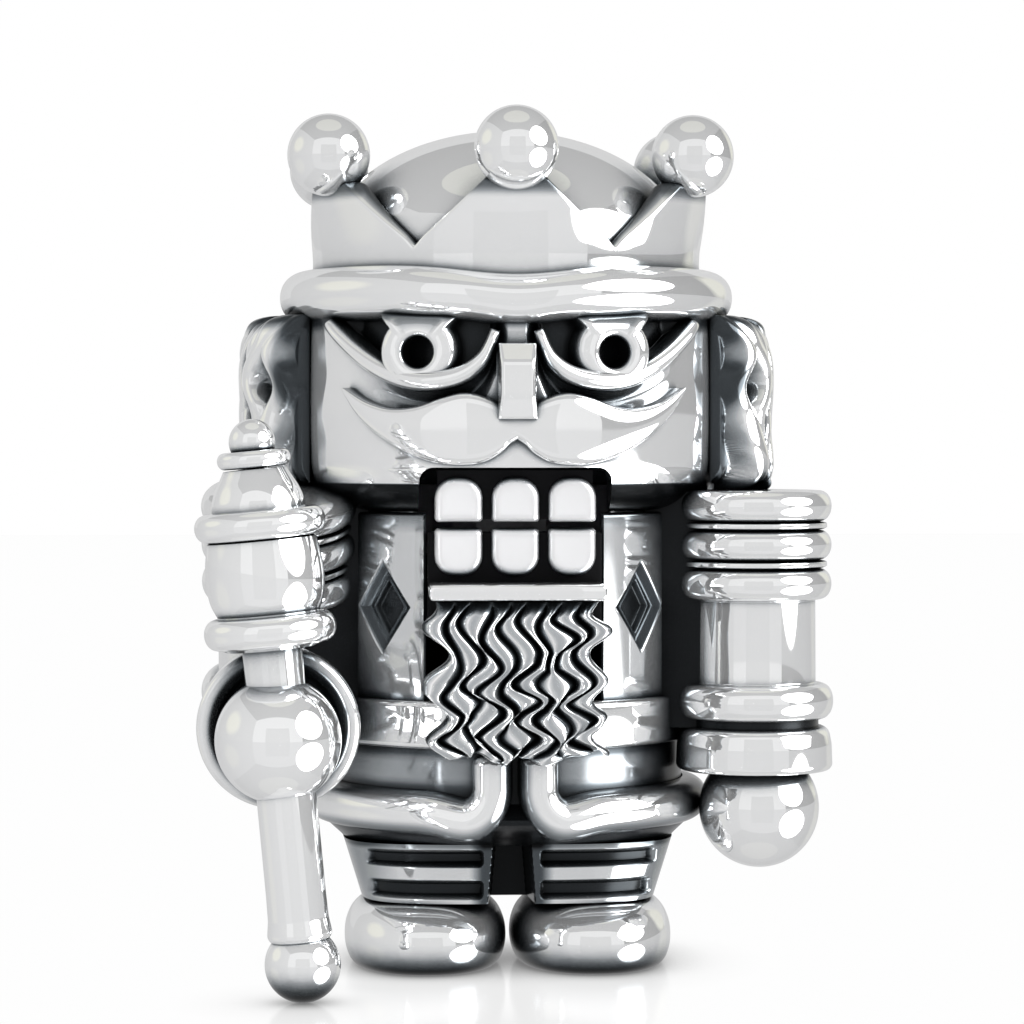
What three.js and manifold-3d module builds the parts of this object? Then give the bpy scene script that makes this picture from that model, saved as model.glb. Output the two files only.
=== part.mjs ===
// Nutcracker king figurine, polished silver, about 175 mm tall.
// Millimetres, +Z up, the king faces -Y. Each mesh is one separately cast or turned piece.
import * as THREE from 'three';
import { mergeVertices } from 'three/addons/utils/BufferGeometryUtils.js';
import Module from 'manifold-3d';

const wasm = await Module();
wasm.setup();

// ---- driving dimensions -------------------------------------------------------------------
const GAP = 0.3;               // clearance between pieces that touch
const RING_SEGMENTS = 36;      // facets around the large turned pieces
const SMALL_SEGMENTS = 18;     // facets around arms, sceptre and balls
const PIN_SEGMENTS = 10;

// boots, trousers and coat
const LEG_X = 16.7;
const WAIST_BOLT_X = 24;
const BOOT_HALF_WIDTH = 15.8;
const BOOT_LENGTH_RATIO = 1.6;
const BOOT_Y = -5;
const BOOT_TOP = 14.4;
const TROUSER_TOP = 26;
const TROUSER_HALF_WIDTH = 34.2;
const TROUSER_HALF_DEPTH = 24.8;
const SKIRT_BOTTOM = 26.3;
const SKIRT_TOP = 47;
const HEM_OUTER_R = 42;
const HEM_BOTTOM = 31.7;
const HEM_TOP = 38.4;
const LAPEL_TOP = 46.4;
const LAPEL_WIDTH = 6.5;
const COAT_SPLIT = 1.6;

// torso
const TORSO_R = 36.8;
const TORSO_INNER_R = 32.8;
const TORSO_BOTTOM = 47.3;
const TORSO_TOP = 94.1;
const TORSO_FLOOR_TOP = 50;
const BELT_SEAT_R = 35.3;
const BELT_R = 38.9;
const BELT_BOTTOM = 47;
const BELT_TOP = 57;
const SLOT_HALF_WIDTH = 17.65;
const SLOT_BOTTOM = 57.3;
const TAIL_SLOT_HALF_WIDTH = 8;
const TAIL_SLOT_TOP = 74;
const DIAMOND_Z = 75;
const DIAMOND_HALF_HEIGHT = 9.7;
const DIAMOND_HALF_WIDTH = 7.4;
const DIAMOND_ANGLE = 45.4;

// head
const HEAD_R = 44.7;
const HEAD_INNER_R = 40.7;
const HEAD_BOTTOM = 94.4;
const HEAD_TOP = 134;
const HEAD_FILLET = 10;
const BULKHEAD_BOTTOM = 112.3;
const BULKHEAD_TOP = 116;
const MOUTH_HALF_WIDTH = 19.2;
const MOUTH_TOP = 103.4;
const EYE_X = 19.4;
const EYE_Z = 126.7;
const EYE_R = 7.7;
const PUPIL_R = 3.2;
const EYE_TURN = 15;

// teeth
const TOOTH_WIDTH = 9.6;
const TOOTH_PITCH = 11.3;
const TOOTH_DEPTH = 3;
const UPPER_TOOTH_Z = [92.5, 101.5];
const LOWER_TOOTH_Z = [81.6, 91.3];
const UPPER_TOOTH_Y = -37.5;
const LOWER_TOOTH_Y = -36.5;

// jaw lever, turned about the pivot pin
const PIVOT_Y = 12;
const PIVOT_Z = 54.5;
const PIVOT_R = 1.8;
const PIVOT_HALF_LENGTH = 32.4;
const JAW_HALF_WIDTH = 17.4;
const JAW_FRONT_Y = -36.2;
const JAW_BACK_Y = -14;
const JAW_BLOCK_Z = [69.6, 80.5];
const CHIN_FRONT_Y = -51;
const CHIN_BOTTOM = 77.4;
const LEVER_HALF_WIDTH = 7.6;

// beard
const BEARD_Z = [45.5, 77.1];
const BEARD_HALF_WIDTH = 18.4;
const BEARD_BACK_Y = -46.5;
const BEARD_STRANDS = 9;

// brow roll and crown
const ROLL_R = 41;
const ROLL_HALF_WIDTH = 6.3;
const ROLL_Z = 139.25;
const ROLL_HALF_HEIGHT = 4.65;
const CROWN_BOTTOM = 138;
const CROWN_BASE_R = 40.3;
const CROWN_WALL = 2.2;
const CROWN_POINTS = 6;
const NOTCH_Z = 148.2;
const BALL_RING_R = 42.8;
const BALL_R = 8.4;
const BALL_Z = 166.6;
const CAP_A = 38.9;
const CAP_B = 26.9;
const CAP_Z = 146.4;
const CAP_SIDE_R = 37.5;
const CAP_BOTTOM = 141.4;

// hair
const HAIR_INNER_R = 45;
const HAIR_Z = [99.2, 134.2];
const HAIR_START = 20;
const HAIR_LOCKS = 8;

// arms and hands
const LEFT_ARM = [50.2, -18.5];
const HAND_R = 12.3;
const LEFT_HAND = [51.2, -18.8, 33.3];
const RIGHT_SHOULDER = [-47.3, -20.5, 98.5];
const RIGHT_ARM_TILT = 16;
const RIGHT_ELBOW = [-47.0, -10, 56.2];
const RIGHT_HAND = [-46.9, -57.8, 51.0];
const FOREARM_DROP = 5.5;

// sceptre
const SCEPTRE_FOOT = [-42.2, -58, 7.4];
const SCEPTRE_TILT = -5.44;
const SHAFT_R = 5.8;
const END_BALL_R = 7.4;

// ---- solid helpers ------------------------------------------------------------------------
const radians = THREE.MathUtils.degToRad;

function solid(geometry) {
  const bare = geometry.clone();
  bare.deleteAttribute('normal');
  bare.deleteAttribute('uv');
  const joined = mergeVertices(bare, 1e-4);
  const vertProperties = Float32Array.from(joined.attributes.position.array);
  const triVerts = Uint32Array.from(joined.index.array);
  return new wasm.Manifold(new wasm.Mesh({ numProp: 3, vertProperties, triVerts }));
}

function geometryOf(body) {
  const mesh = body.getMesh();
  const geometry = new THREE.BufferGeometry();
  geometry.setAttribute('position', new THREE.BufferAttribute(mesh.vertProperties, 3));
  geometry.setIndex(new THREE.BufferAttribute(mesh.triVerts, 1));
  geometry.computeVertexNormals();
  return geometry;
}

// A profile of [radius, height] pairs, listed so that the outside is met from below upwards.
function lathe(profile, segments = RING_SEGMENTS) {
  const points = profile.map(([r, z]) => new THREE.Vector2(r, z));
  return solid(new THREE.LatheGeometry(points, segments).rotateX(Math.PI / 2));
}

function tube(innerR, outerR, bottom, top, segments = RING_SEGMENTS) {
  const profile = [[innerR, bottom], [outerR, bottom], [outerR, top], [innerR, top]];
  return lathe([...profile, profile[0]], segments);
}

function disc(radius, bottom, top, segments = RING_SEGMENTS) {
  return lathe([[0, bottom], [radius, bottom], [radius, top], [0, top]], segments);
}

function box(x0, x1, y0, y1, z0, z1) {
  const geometry = new THREE.BoxGeometry(x1 - x0, y1 - y0, z1 - z0);
  return solid(geometry.translate((x0 + x1) / 2, (y0 + y1) / 2, (z0 + z1) / 2));
}

function ball(radius, centre, across = 16, down = 10) {
  return solid(new THREE.SphereGeometry(radius, across, down).rotateX(Math.PI / 2)).translate(centre);
}

function outline(points) {
  return new THREE.Shape(points.map(([u, v]) => new THREE.Vector2(u, v)));
}

// A flat outline in X and Z, made solid from y0 (front) to y1 (back).
function frontPrism(shape, y0, y1, bevel = 0) {
  const options = { depth: y1 - y0 - 2 * bevel, bevelEnabled: bevel > 0, curveSegments: 6 };
  options.bevelThickness = bevel;
  options.bevelSize = bevel;
  options.bevelOffset = -bevel;
  options.bevelSegments = 2;
  const geometry = new THREE.ExtrudeGeometry(shape, options);
  return solid(geometry.rotateX(Math.PI / 2)).translate([0, y1 - bevel, 0]);
}

// A flat outline in Y and Z, made solid from -halfWidth to +halfWidth in X.
function sidePrism(points, halfWidth) {
  const options = { depth: 2 * halfWidth, bevelEnabled: false };
  const geometry = new THREE.ExtrudeGeometry(outline(points), options);
  geometry.rotateX(Math.PI / 2);
  geometry.rotateZ(Math.PI / 2);
  return solid(geometry).translate([-halfWidth, 0, 0]);
}

function rodX(x0, x1, y, z, radius) {
  return disc(radius, 0, x1 - x0, PIN_SEGMENTS).rotate([0, 90, 0]).translate([x0, y, z]);
}

function rodZ(x, y, z0, z1, radius) {
  return disc(radius, z0, z1, PIN_SEGMENTS).translate([x, y, 0]);
}

function screwZ(x, y, z0, z1, radius, headRadius, headHeight) {
  return rodZ(x, y, z0, z1, radius).add(rodZ(x, y, z1 - headHeight, z1, headRadius));
}

function mirrored(body) {
  return body.mirror([1, 0, 0]);
}

function arc(centreR, centreZ, radius, from, to, steps) {
  const points = [];
  for (let i = 0; i <= steps; i += 1) {
    const angle = radians(from + ((to - from) * i) / steps);
    points.push([centreR + radius * Math.cos(angle), centreZ + radius * Math.sin(angle)]);
  }
  return points;
}

// ---- materials and assembly group ---------------------------------------------------------
const group = new THREE.Group();
group.name = 'nutcracker_king';
const SILVER = { color: 0xc9cacc, metalness: 1, roughness: 0.12 };
const STEEL = { color: 0x8f9296, metalness: 1, roughness: 0.35 };
const BLACKENED = { color: 0x2b2c2f, metalness: 0.8, roughness: 0.5 };
const SATIN = { color: 0xe2e3e4, metalness: 0.9, roughness: 0.3 };

function place(name, body, look = SILVER) {
  const mesh = new THREE.Mesh(geometryOf(body), new THREE.MeshStandardMaterial(look));
  mesh.name = name;
  group.add(mesh);
}

// ---- envelopes that the arms have to clear ------------------------------------------------
function bodyEnvelope() {
  const profile = [[0, 20], [HEM_OUTER_R + GAP, 20], [HEM_OUTER_R + GAP, HEM_TOP + GAP]];
  profile.push([TORSO_R + GAP, HEM_TOP + 1.5], [TORSO_R + GAP, BELT_BOTTOM - GAP]);
  profile.push([BELT_R + GAP, BELT_BOTTOM - GAP], [BELT_R + GAP, BELT_TOP + GAP]);
  profile.push([TORSO_R + GAP, BELT_TOP + GAP], [TORSO_R + GAP, HEAD_BOTTOM - GAP]);
  profile.push(...arc(HEAD_R - HEAD_FILLET, HEAD_BOTTOM + HEAD_FILLET, HEAD_FILLET + GAP, -75, 0, 5));
  profile.push([HEAD_R + GAP, 120], [0, 120]);
  return lathe(profile);
}

// ---- boots, trousers and their bolts ------------------------------------------------------
function boot(side) {
  const profile = [[0, 0], [14.6, 0], [15.5, 2.4], [BOOT_HALF_WIDTH, 6], [15.3, 9.6]];
  profile.push([13.6, 12.4], [10.6, BOOT_TOP], [0, BOOT_TOP]);
  const shell = lathe(profile, 24).scale([1, BOOT_LENGTH_RATIO, 1]);
  const placed = shell.translate([side * LEG_X, BOOT_Y, 0]);
  return placed.subtract(rodZ(side * LEG_X, 0, 4, 20, 2.5 + GAP));
}

// Turns a round plan into a squarish one with well-rounded corners.
function squared(body) {
  return body.warp((point) => {
    const round = Math.hypot(point[0], point[1]);
    if (round < 0.1) return;
    const share = Math.abs(point[0] / round) ** 3.6 + Math.abs(point[1] / round) ** 3.6;
    point[0] *= share ** (-1 / 3.6);
    point[1] *= share ** (-1 / 3.6);
  });
}

function trouserBlock() {
  const bottom = BOOT_TOP + GAP;
  const profile = [[0, bottom], [0.892, bottom], [1, TROUSER_TOP], [0, TROUSER_TOP]];
  return squared(lathe(profile, 40)).scale([TROUSER_HALF_WIDTH, TROUSER_HALF_DEPTH, 1]);
}

// Two long recesses across a trouser leg, on the front and on the back.
function trouserRecess(side, z0, z1) {
  const x0 = side > 0 ? 6.6 : -29.4;
  const across = box(x0, x0 + 22.8, -40, 40, z0, z1);
  const kept = squared(disc(1, z0 - 1, z1 + 1, 40)).scale([60, TROUSER_HALF_DEPTH - 3.4, 1]);
  return across.subtract(kept);
}

function trousers() {
  let block = trouserBlock();
  for (const side of [-1, 1]) {
    block = block.subtract(box(-2.8, 2.8, side * 26 - 12, side * 26 + 12, 10, 30));
    block = block.subtract(trouserRecess(side, 22.6, 25)).subtract(trouserRecess(side, 16.5, 20));
  }
  let body = block.translate([0, -1, 0]);
  for (const side of [-1, 1]) {
    body = body.subtract(rodZ(side * LEG_X, 0, 10, 30, 2.5 + GAP));
    body = body.subtract(rodZ(side * WAIST_BOLT_X, 0, 18, 30, 2 + GAP));
  }
  return body;
}

// ---- coat ---------------------------------------------------------------------------------
function coatSkirt() {
  const profile = [[0, SKIRT_BOTTOM], [33.6, SKIRT_BOTTOM], [36.4, 31.5]];
  profile.push([TORSO_R, 34], [TORSO_R, SKIRT_TOP], [0, SKIRT_TOP]);
  let body = lathe(profile);
  for (const side of [-1, 1]) {
    body = body.subtract(rodZ(side * WAIST_BOLT_X, 0, 20, 50, 2 + GAP));
    body = body.subtract(rodZ(side * LEG_X, 0, 20, 30, 4.2 + GAP));
  }
  return body;
}

function lapelOutline() {
  const inner = COAT_SPLIT / 2;
  const outer = inner + LAPEL_WIDTH;
  const points = [[inner, HEM_BOTTOM + 0.8], [inner + 1.7, HEM_BOTTOM - 1], [outer + 3, HEM_BOTTOM + 1]];
  points.push([outer + 3, HEM_TOP], [outer, HEM_TOP + 1.5], [outer, LAPEL_TOP - 1.5]);
  points.push([outer - 1.5, LAPEL_TOP], [inner + 1.5, LAPEL_TOP], [inner, LAPEL_TOP - 1.5]);
  return outline(points);
}

function coatHem() {
  const inner = TORSO_R + GAP;
  const middle = (HEM_BOTTOM + HEM_TOP) / 2;
  const profile = [[inner, HEM_BOTTOM + 0.6], [39.6, HEM_BOTTOM], [41.3, HEM_BOTTOM + 1]];
  profile.push([HEM_OUTER_R, middle], [41.3, HEM_TOP - 1], [39.6, HEM_TOP], [inner, HEM_TOP - 0.4]);
  let body = lathe([...profile, profile[0]]);
  const sleeve = tube(inner, HEM_OUTER_R - 0.4, 25, 60);
  const lapel = frontPrism(lapelOutline(), -50, -30).intersect(sleeve);
  body = body.subtract(box(-COAT_SPLIT / 2 - 2, COAT_SPLIT / 2 + 2, -60, 0, 20, 60));
  return body.add(lapel).add(mirrored(lapel));
}

function belt() {
  const profile = [[BELT_SEAT_R + GAP, BELT_BOTTOM + GAP], [BELT_R - 0.7, BELT_BOTTOM + GAP]];
  profile.push([BELT_R, BELT_BOTTOM + 1], [BELT_R, BELT_TOP - 0.7], [BELT_R - 0.7, BELT_TOP]);
  profile.push([BELT_SEAT_R + GAP, BELT_TOP]);
  let body = lathe([...profile, profile[0]]);
  body = body.subtract(disc(16.5, 40, 60, 20).translate([...LEFT_ARM, 0]));
  return body;
}

// ---- torso --------------------------------------------------------------------------------
function diamondCut(side) {
  const h = DIAMOND_HALF_HEIGHT;
  const w = DIAMOND_HALF_WIDTH;
  const points = [[0, DIAMOND_Z - h], [w, DIAMOND_Z], [0, DIAMOND_Z + h], [-w, DIAMOND_Z]];
  const cut = frontPrism(outline(points), -45, -TORSO_R + 1.8);
  return cut.rotate([0, 0, side * DIAMOND_ANGLE]);
}

function torsoShell() {
  const profile = [[0, TORSO_BOTTOM], [BELT_SEAT_R, TORSO_BOTTOM], [BELT_SEAT_R, BELT_TOP + GAP]];
  profile.push([TORSO_R, BELT_TOP + GAP], [TORSO_R, TORSO_TOP], [TORSO_INNER_R, TORSO_TOP]);
  profile.push([TORSO_INNER_R, TORSO_FLOOR_TOP], [0, TORSO_FLOOR_TOP]);
  let body = lathe(profile);
  body = body.subtract(box(-SLOT_HALF_WIDTH, SLOT_HALF_WIDTH, -50, -20, SLOT_BOTTOM, 100));
  body = body.subtract(box(-TAIL_SLOT_HALF_WIDTH, TAIL_SLOT_HALF_WIDTH, 20, 50, SLOT_BOTTOM, TAIL_SLOT_TOP));
  body = body.subtract(rodX(-40, 40, PIVOT_Y, PIVOT_Z, PIVOT_R + GAP));
  for (const side of [-1, 1]) {
    body = body.subtract(diamondCut(side));
    body = body.subtract(rodZ(side * WAIST_BOLT_X, 0, 40, 56, 2 + GAP));
    body = body.subtract(rodX(side > 0 ? 20 : -45, side > 0 ? 45 : -20, LEFT_ARM[1], 88, 1.8 + GAP));
  }
  return body;
}

function neckCollar() {
  const ring = tube(29.6, TORSO_INNER_R - GAP, 84, 99);
  return ring.subtract(box(-20, 20, -40, 0, 80, 104));
}

// ---- head ---------------------------------------------------------------------------------
function mouthOutline() {
  const w = MOUTH_HALF_WIDTH;
  const points = [[-w, 90], [w, 90], [w, MOUTH_TOP - 2.8], [w - 0.8, MOUTH_TOP - 0.8]];
  points.push([w - 2.8, MOUTH_TOP], [-w + 2.8, MOUTH_TOP], [-w + 0.8, MOUTH_TOP - 0.8]);
  points.push([-w, MOUTH_TOP - 2.8]);
  return outline(points);
}

function eyePocket(side, radius, y0, y1) {
  const cut = disc(radius, 0, y1 - y0, SMALL_SEGMENTS).rotate([-90, 0, 0]).translate([0, y0, 0]);
  return cut.rotate([0, 0, side * EYE_TURN]).translate([side * EYE_X, -39.2, EYE_Z]);
}

function headShell() {
  const profile = [[0, BULKHEAD_BOTTOM], [TORSO_INNER_R, BULKHEAD_BOTTOM]];
  profile.push([TORSO_INNER_R, HEAD_BOTTOM]);
  profile.push(...arc(HEAD_R - HEAD_FILLET, HEAD_BOTTOM + HEAD_FILLET, HEAD_FILLET, -90, 0, 6));
  profile.push([HEAD_R, HEAD_TOP], [HEAD_INNER_R, HEAD_TOP], [HEAD_INNER_R, BULKHEAD_TOP]);
  profile.push([0, BULKHEAD_TOP]);
  let body = lathe(profile);
  body = body.subtract(frontPrism(mouthOutline(), -60, -20));
  body = body.subtract(box(-16, 16, -38, -20, HEAD_BOTTOM, BULKHEAD_BOTTOM));
  body = body.subtract(rodZ(0, 0, 105, 120, 2.5 + GAP));
  for (const side of [-1, 1]) {
    body = body.subtract(eyePocket(side, EYE_R + GAP, -12, 1.2));
    body = body.subtract(rodZ(side * 12, -26, 108, 120, 1.8 + GAP));
  }
  return body;
}

function upperJawBlock() {
  const points = [[-37.2, 93], [-34.2, 93], [-34.2, 102.4], [-12, 104], [-12, 112], [-33.5, 112]];
  points.push([-33.5, 106], [-34.4, 103.2], [-37.2, 102.8]);
  let body = sidePrism(points, 15.5);
  for (const side of [-1, 1]) {
    body = body.subtract(rodZ(side * 12, -26, 105, 120, 1.8 + GAP));
  }
  return body;
}

function eye(side) {
  const profile = [[PUPIL_R, 0], [EYE_R, 0], [EYE_R, 2.4], [EYE_R - 1, 3.6], [PUPIL_R + 0.8, 3.6]];
  profile.push([PUPIL_R, 2.8]);
  const ring = lathe([...profile, profile[0]], SMALL_SEGMENTS).rotate([90, 0, 0]);
  return ring.rotate([0, 0, side * EYE_TURN]).translate([side * EYE_X, -38.3, EYE_Z]);
}

// Slab that follows the round face, cut to the given half outline.
function faceSlab(shape, thickness) {
  const skin = tube(HEAD_R + GAP, HEAD_R + GAP + thickness, 90, 134);
  return frontPrism(shape, -60, -15).intersect(skin);
}

function lidOutline() {
  const points = [[4.6, 130], [5.6, 124.6], [9.6, 120.2], [15.4, 118.3], [22, 118.1], [28.4, 120.4]];
  points.push([33.2, 125], [36.3, 131.2], [32.4, 127.6], [27.6, 123.4], [22, 121.2]);
  points.push([15.6, 121.4], [10.6, 123.6], [7.2, 127.4]);
  return outline(points);
}

function lowerLid(side) {
  const clear = eyePocket(1, EYE_R + 0.2, -12, 4);
  const lid = faceSlab(lidOutline(), 2.2).subtract(clear);
  return side > 0 ? lid : mirrored(lid);
}

function noseOutline(grow) {
  const w = 3.85 + grow;
  const points = [[-w + 1, 112.8 - grow], [w - 1, 112.8 - grow], [w, 114.4], [w - 0.6, 122]];
  points.push([w, 128.1 + grow], [-w, 128.1 + grow], [-w + 0.6, 122], [-w, 114.4]);
  return outline(points);
}

function nose() {
  const strip = frontPrism(noseOutline(0), -50.6, -40, 1.2);
  return strip.subtract(disc(HEAD_R + GAP, 100, 134));
}

function moustacheHalf() {
  const points = [[0, 108.6], [2.9, 106.6], [6.6, 104.5], [10.8, 103.9], [15.9, 104], [21, 105.6]];
  points.push([27.6, 109], [31.6, 113], [34, 119], [29.6, 116.6], [24.7, 115.1], [18.6, 115.6]);
  points.push([11.3, 118.2], [6.8, 117.8], [4.3, 116.4], [0, 115]);
  return outline(points);
}

function moustache() {
  const half = faceSlab(moustacheHalf(), 2.8);
  const join = outline([[-1, 109], [1, 109], [1, 114], [-1, 114]]);
  const whole = half.add(mirrored(half)).add(faceSlab(join, 2.8));
  return whole.subtract(frontPrism(noseOutline(GAP), -60, -40));
}

// ---- teeth --------------------------------------------------------------------------------
function tooth(x, zRange, backY, roundTop) {
  const w = TOOTH_WIDTH / 2;
  const [z0, z1] = zRange;
  const r = 4.2;
  const round = [[w, 0], [w, z1 - z0 - r], [w - 1.2, z1 - z0 - 1.2], [w - r, z1 - z0]];
  round.push([-w + r, z1 - z0], [-w + 1.2, z1 - z0 - 1.2], [-w, z1 - z0 - r], [-w, 0]);
  const points = round.map(([u, v]) => [x + u, roundTop ? z0 + v : z1 - v]);
  if (!roundTop) points.reverse();
  return frontPrism(outline(points), backY - TOOTH_DEPTH, backY, 0.5);
}

// ---- jaw lever and beard ------------------------------------------------------------------
function leverWeb() {
  const points = [[-16, 69.6], [8, 51.4], [12, 50.4], [16, 51.4], [24, 58.4], [38, 58.4], [43.6, 54]];
  points.push([43.6, 26], [45, 23.6], [48, 23.6], [49.4, 26], [49.4, 60], [46, 65.6], [22, 66]);
  points.push([-10, 79], [-16, 79]);
  return sidePrism(points, LEVER_HALF_WIDTH);
}

function jawLever() {
  const w = JAW_HALF_WIDTH;
  const [z0, z1] = JAW_BLOCK_Z;
  let body = box(-w, w, JAW_FRONT_Y, JAW_BACK_Y, z0, z1).add(leverWeb());
  body = body.add(box(-w, w, CHIN_FRONT_Y, JAW_FRONT_Y + 1, CHIN_BOTTOM, z1));
  body = body.add(box(-w, w, JAW_FRONT_Y, JAW_FRONT_Y + 2.8, z1 - 1, 90.5));
  body = body.subtract(rodX(-20, 20, PIVOT_Y, PIVOT_Z, PIVOT_R + GAP));
  return body.subtract(beardScrewHole());
}

// A rod along +Y that starts in the lug behind the beard.
function beardRod(radius, from, to) {
  return disc(radius, from, to, PIN_SEGMENTS).rotate([-90, 0, 0]).translate([0, -42, 73.6]);
}

function beardScrew() {
  return beardRod(1.5, 0, 14).add(beardRod(2.6, 12, 14));
}

function beardScrewHole() {
  return beardRod(1.5 + GAP, -GAP, 14).add(beardRod(2.6 + GAP, 12 - GAP, 30));
}

function beardOutline() {
  const w = BEARD_HALF_WIDTH;
  const [z0, z1] = BEARD_Z;
  const points = [[w - 1.4, z1], [-w + 1.4, z1]];
  const half = [[w, z1 - 5], [w - 1.6, z1 - 10], [w + 0.4, z1 - 16], [w - 2.6, z1 - 22]];
  half.push([w - 4.4, z1 - 27], [11.5, z0 + 3.4], [9, z0 + 1], [6.4, z0 + 3], [3.4, z0], [0, z0 + 2.4]);
  points.push(...half.map(([u, v]) => [-u, v]));
  points.push(...half.slice(0, -1).reverse());
  return outline(points);
}

function beard() {
  let body = frontPrism(beardOutline(), BEARD_BACK_Y - 3.4, BEARD_BACK_Y, 0.5);
  const [z0, z1] = BEARD_Z;
  for (let i = 0; i < BEARD_STRANDS; i += 1) {
    const x = (i - (BEARD_STRANDS - 1) / 2) * 3.7;
    const drop = Math.abs(x) * 0.55;
    const shape = outline([[x - 1.5, z1 - 0.4], [x - 1.9, 62], [x - 0.5, z0 + 2.6 + drop],
      [x + 0.9, z0 + 3 + drop], [x + 1.5, 62], [x + 1.4, z1 - 0.4]]);
    body = body.add(frontPrism(shape, BEARD_BACK_Y - 4.5, BEARD_BACK_Y - 1, 0.5));
  }
  body = body.add(box(-8, 8, BEARD_BACK_Y - 1, JAW_FRONT_Y - GAP, 70, z1));
  return body.subtract(beardScrewHole());
}

// ---- brow roll and crown ------------------------------------------------------------------
// The roll dips over the nose and again above each eye, which gives the frown.
function browDip(x, y) {
  if (y > 0) return 0;
  const centre = 2.6 * Math.exp(-((x / 9) ** 2));
  return centre + 1.1 * Math.exp(-(((Math.abs(x) - 28) / 9) ** 2));
}

function browRoll() {
  const profile = [];
  for (let i = 0; i <= 10; i += 1) {
    const angle = (Math.PI * 2 * i) / 10;
    profile.push([ROLL_R + ROLL_HALF_WIDTH * Math.cos(angle), ROLL_Z + ROLL_HALF_HEIGHT * Math.sin(angle)]);
  }
  let body = lathe(profile, 48);
  body = body.warp((v) => { v[2] -= browDip(v[0], v[1]); });
  body = body.subtract(disc(HEAD_R + GAP, 120, HEAD_TOP + GAP));
  return body.subtract(disc(CROWN_BASE_R + GAP, CROWN_BOTTOM - GAP, 160));
}

function crownWall() {
  const outer = [[CROWN_BASE_R, CROWN_BOTTOM], [CROWN_BASE_R, 144], [40.1, 148], [40.5, 153]];
  outer.push([41.2, 157], [42, 161]);
  const inner = outer.map(([r, z]) => [r - CROWN_WALL, z]).reverse();
  inner.pop();
  const floor = [[CROWN_BASE_R - CROWN_WALL, 141], [0, 141]];
  const wall = lathe([[0, CROWN_BOTTOM], ...outer, ...inner, ...floor], 48);
  return wall.subtract(rodZ(0, 0, 130, 150, 2.5 + GAP));
}

function notch() {
  const half = [[0.9, NOTCH_Z + 0.3], [6.6, 151.2], [12.2, 154.6], [17.2, 158.6], [19.4, 165]];
  const points = [...half.map(([u, v]) => [u, v]), ...half.map(([u, v]) => [-u, v]).reverse()];
  return frontPrism(outline(points), -60, -20);
}

function crownBand() {
  let body = crownWall();
  for (let i = 0; i < CROWN_POINTS; i += 1) {
    const turn = (360 * i) / CROWN_POINTS;
    body = body.subtract(notch().rotate([0, 0, turn + 180 / CROWN_POINTS]));
    body = body.subtract(ball(BALL_R + GAP, [0, -BALL_RING_R, BALL_Z], 16, 10).rotate([0, 0, turn]));
  }
  return body;
}

function crownCap() {
  const outer = [[CAP_SIDE_R, CAP_BOTTOM]];
  const inner = [[CAP_SIDE_R - 3, CAP_BOTTOM]];
  for (let i = 0; i < 9; i += 1) {
    const angle = radians(16 + (74 * i) / 8);
    outer.push([CAP_A * Math.cos(angle), CAP_Z + CAP_B * Math.sin(angle)]);
    const innerR = Math.max((CAP_A - 3.6) * Math.cos(angle), 5);
    inner.push([Math.min(innerR, CAP_SIDE_R - 3), CAP_Z + (CAP_B - 3) * Math.sin(angle)]);
  }
  outer[outer.length - 1][0] = 0;
  inner.pop();
  const boss = [[5, 168.5], [5, 146], [2.5 + GAP, 146], [2.5 + GAP, 160], [0, 160]];
  return lathe([...boss.reverse(), ...inner.reverse(), ...outer], 32);
}

function crownBolt() {
  return rodZ(0, 0, 112, 159, 2.5).add(rodZ(0, 0, 108, BULKHEAD_BOTTOM - GAP, 4.6));
}

// ---- hair ---------------------------------------------------------------------------------
function lockRadius(share) {
  const wave = Math.abs(Math.sin(Math.PI * HAIR_LOCKS * share));
  return 52.2 + 4.2 * wave ** 0.7;
}

function hairPlan() {
  const points = [];
  const start = radians(-HAIR_START);
  const end = radians(90) - 0.006;
  const samples = HAIR_LOCKS * 4;
  for (let i = 0; i <= samples; i += 1) {
    const angle = start + ((end - start) * i) / samples;
    const r = lockRadius(i / samples);
    points.push([r * Math.cos(angle), r * Math.sin(angle)]);
  }
  for (let i = 20; i >= 0; i -= 1) {
    const angle = start + ((end - start) * i) / 20;
    points.push([HAIR_INNER_R * Math.cos(angle), HAIR_INNER_R * Math.sin(angle)]);
  }
  return outline(points);
}

// Locks swing sideways with height and draw in at the top and the ends.
function hairWarp(v) {
  const [z0, z1] = HAIR_Z;
  const share = (v[2] - z0) / (z1 - z0);
  const r = Math.hypot(v[0], v[1]);
  const angle = Math.atan2(v[1], v[0]);
  const outwards = (r - HAIR_INNER_R - 2) / 10;
  const fade = Math.max(0, Math.min(1, (1.5708 - angle) / 0.3));
  const swing = 0.055 * Math.sin(share * Math.PI * 2) * fade;
  const swell = 0.6 + 0.4 * Math.sin(Math.PI * Math.min(1, share * 0.9 + 0.12)) ** 0.6;
  const newR = outwards > 0 ? HAIR_INNER_R + (r - HAIR_INNER_R) * swell : HAIR_INNER_R + 0.1;
  v[0] = newR * Math.cos(angle + swing);
  v[1] = newR * Math.sin(angle + swing);
}

function hairSide(side) {
  const [z0, z1] = HAIR_Z;
  const geometry = new THREE.ExtrudeGeometry(hairPlan(), { depth: z1 - z0, bevelEnabled: false, steps: 7 });
  const locks = solid(geometry.translate(0, 0, z0)).warp(hairWarp);
  const clear = disc(HEAD_R + GAP, 90, 140, 48).add(bodyEnvelope());
  const trimmed = locks.subtract(clear).subtract(box(-70, GAP, -70, 70, 90, 140));
  return side > 0 ? trimmed : mirrored(trimmed).subtract(onRightShoulder(disc(16.2, 80, 98.5 + GAP)));
}

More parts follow.
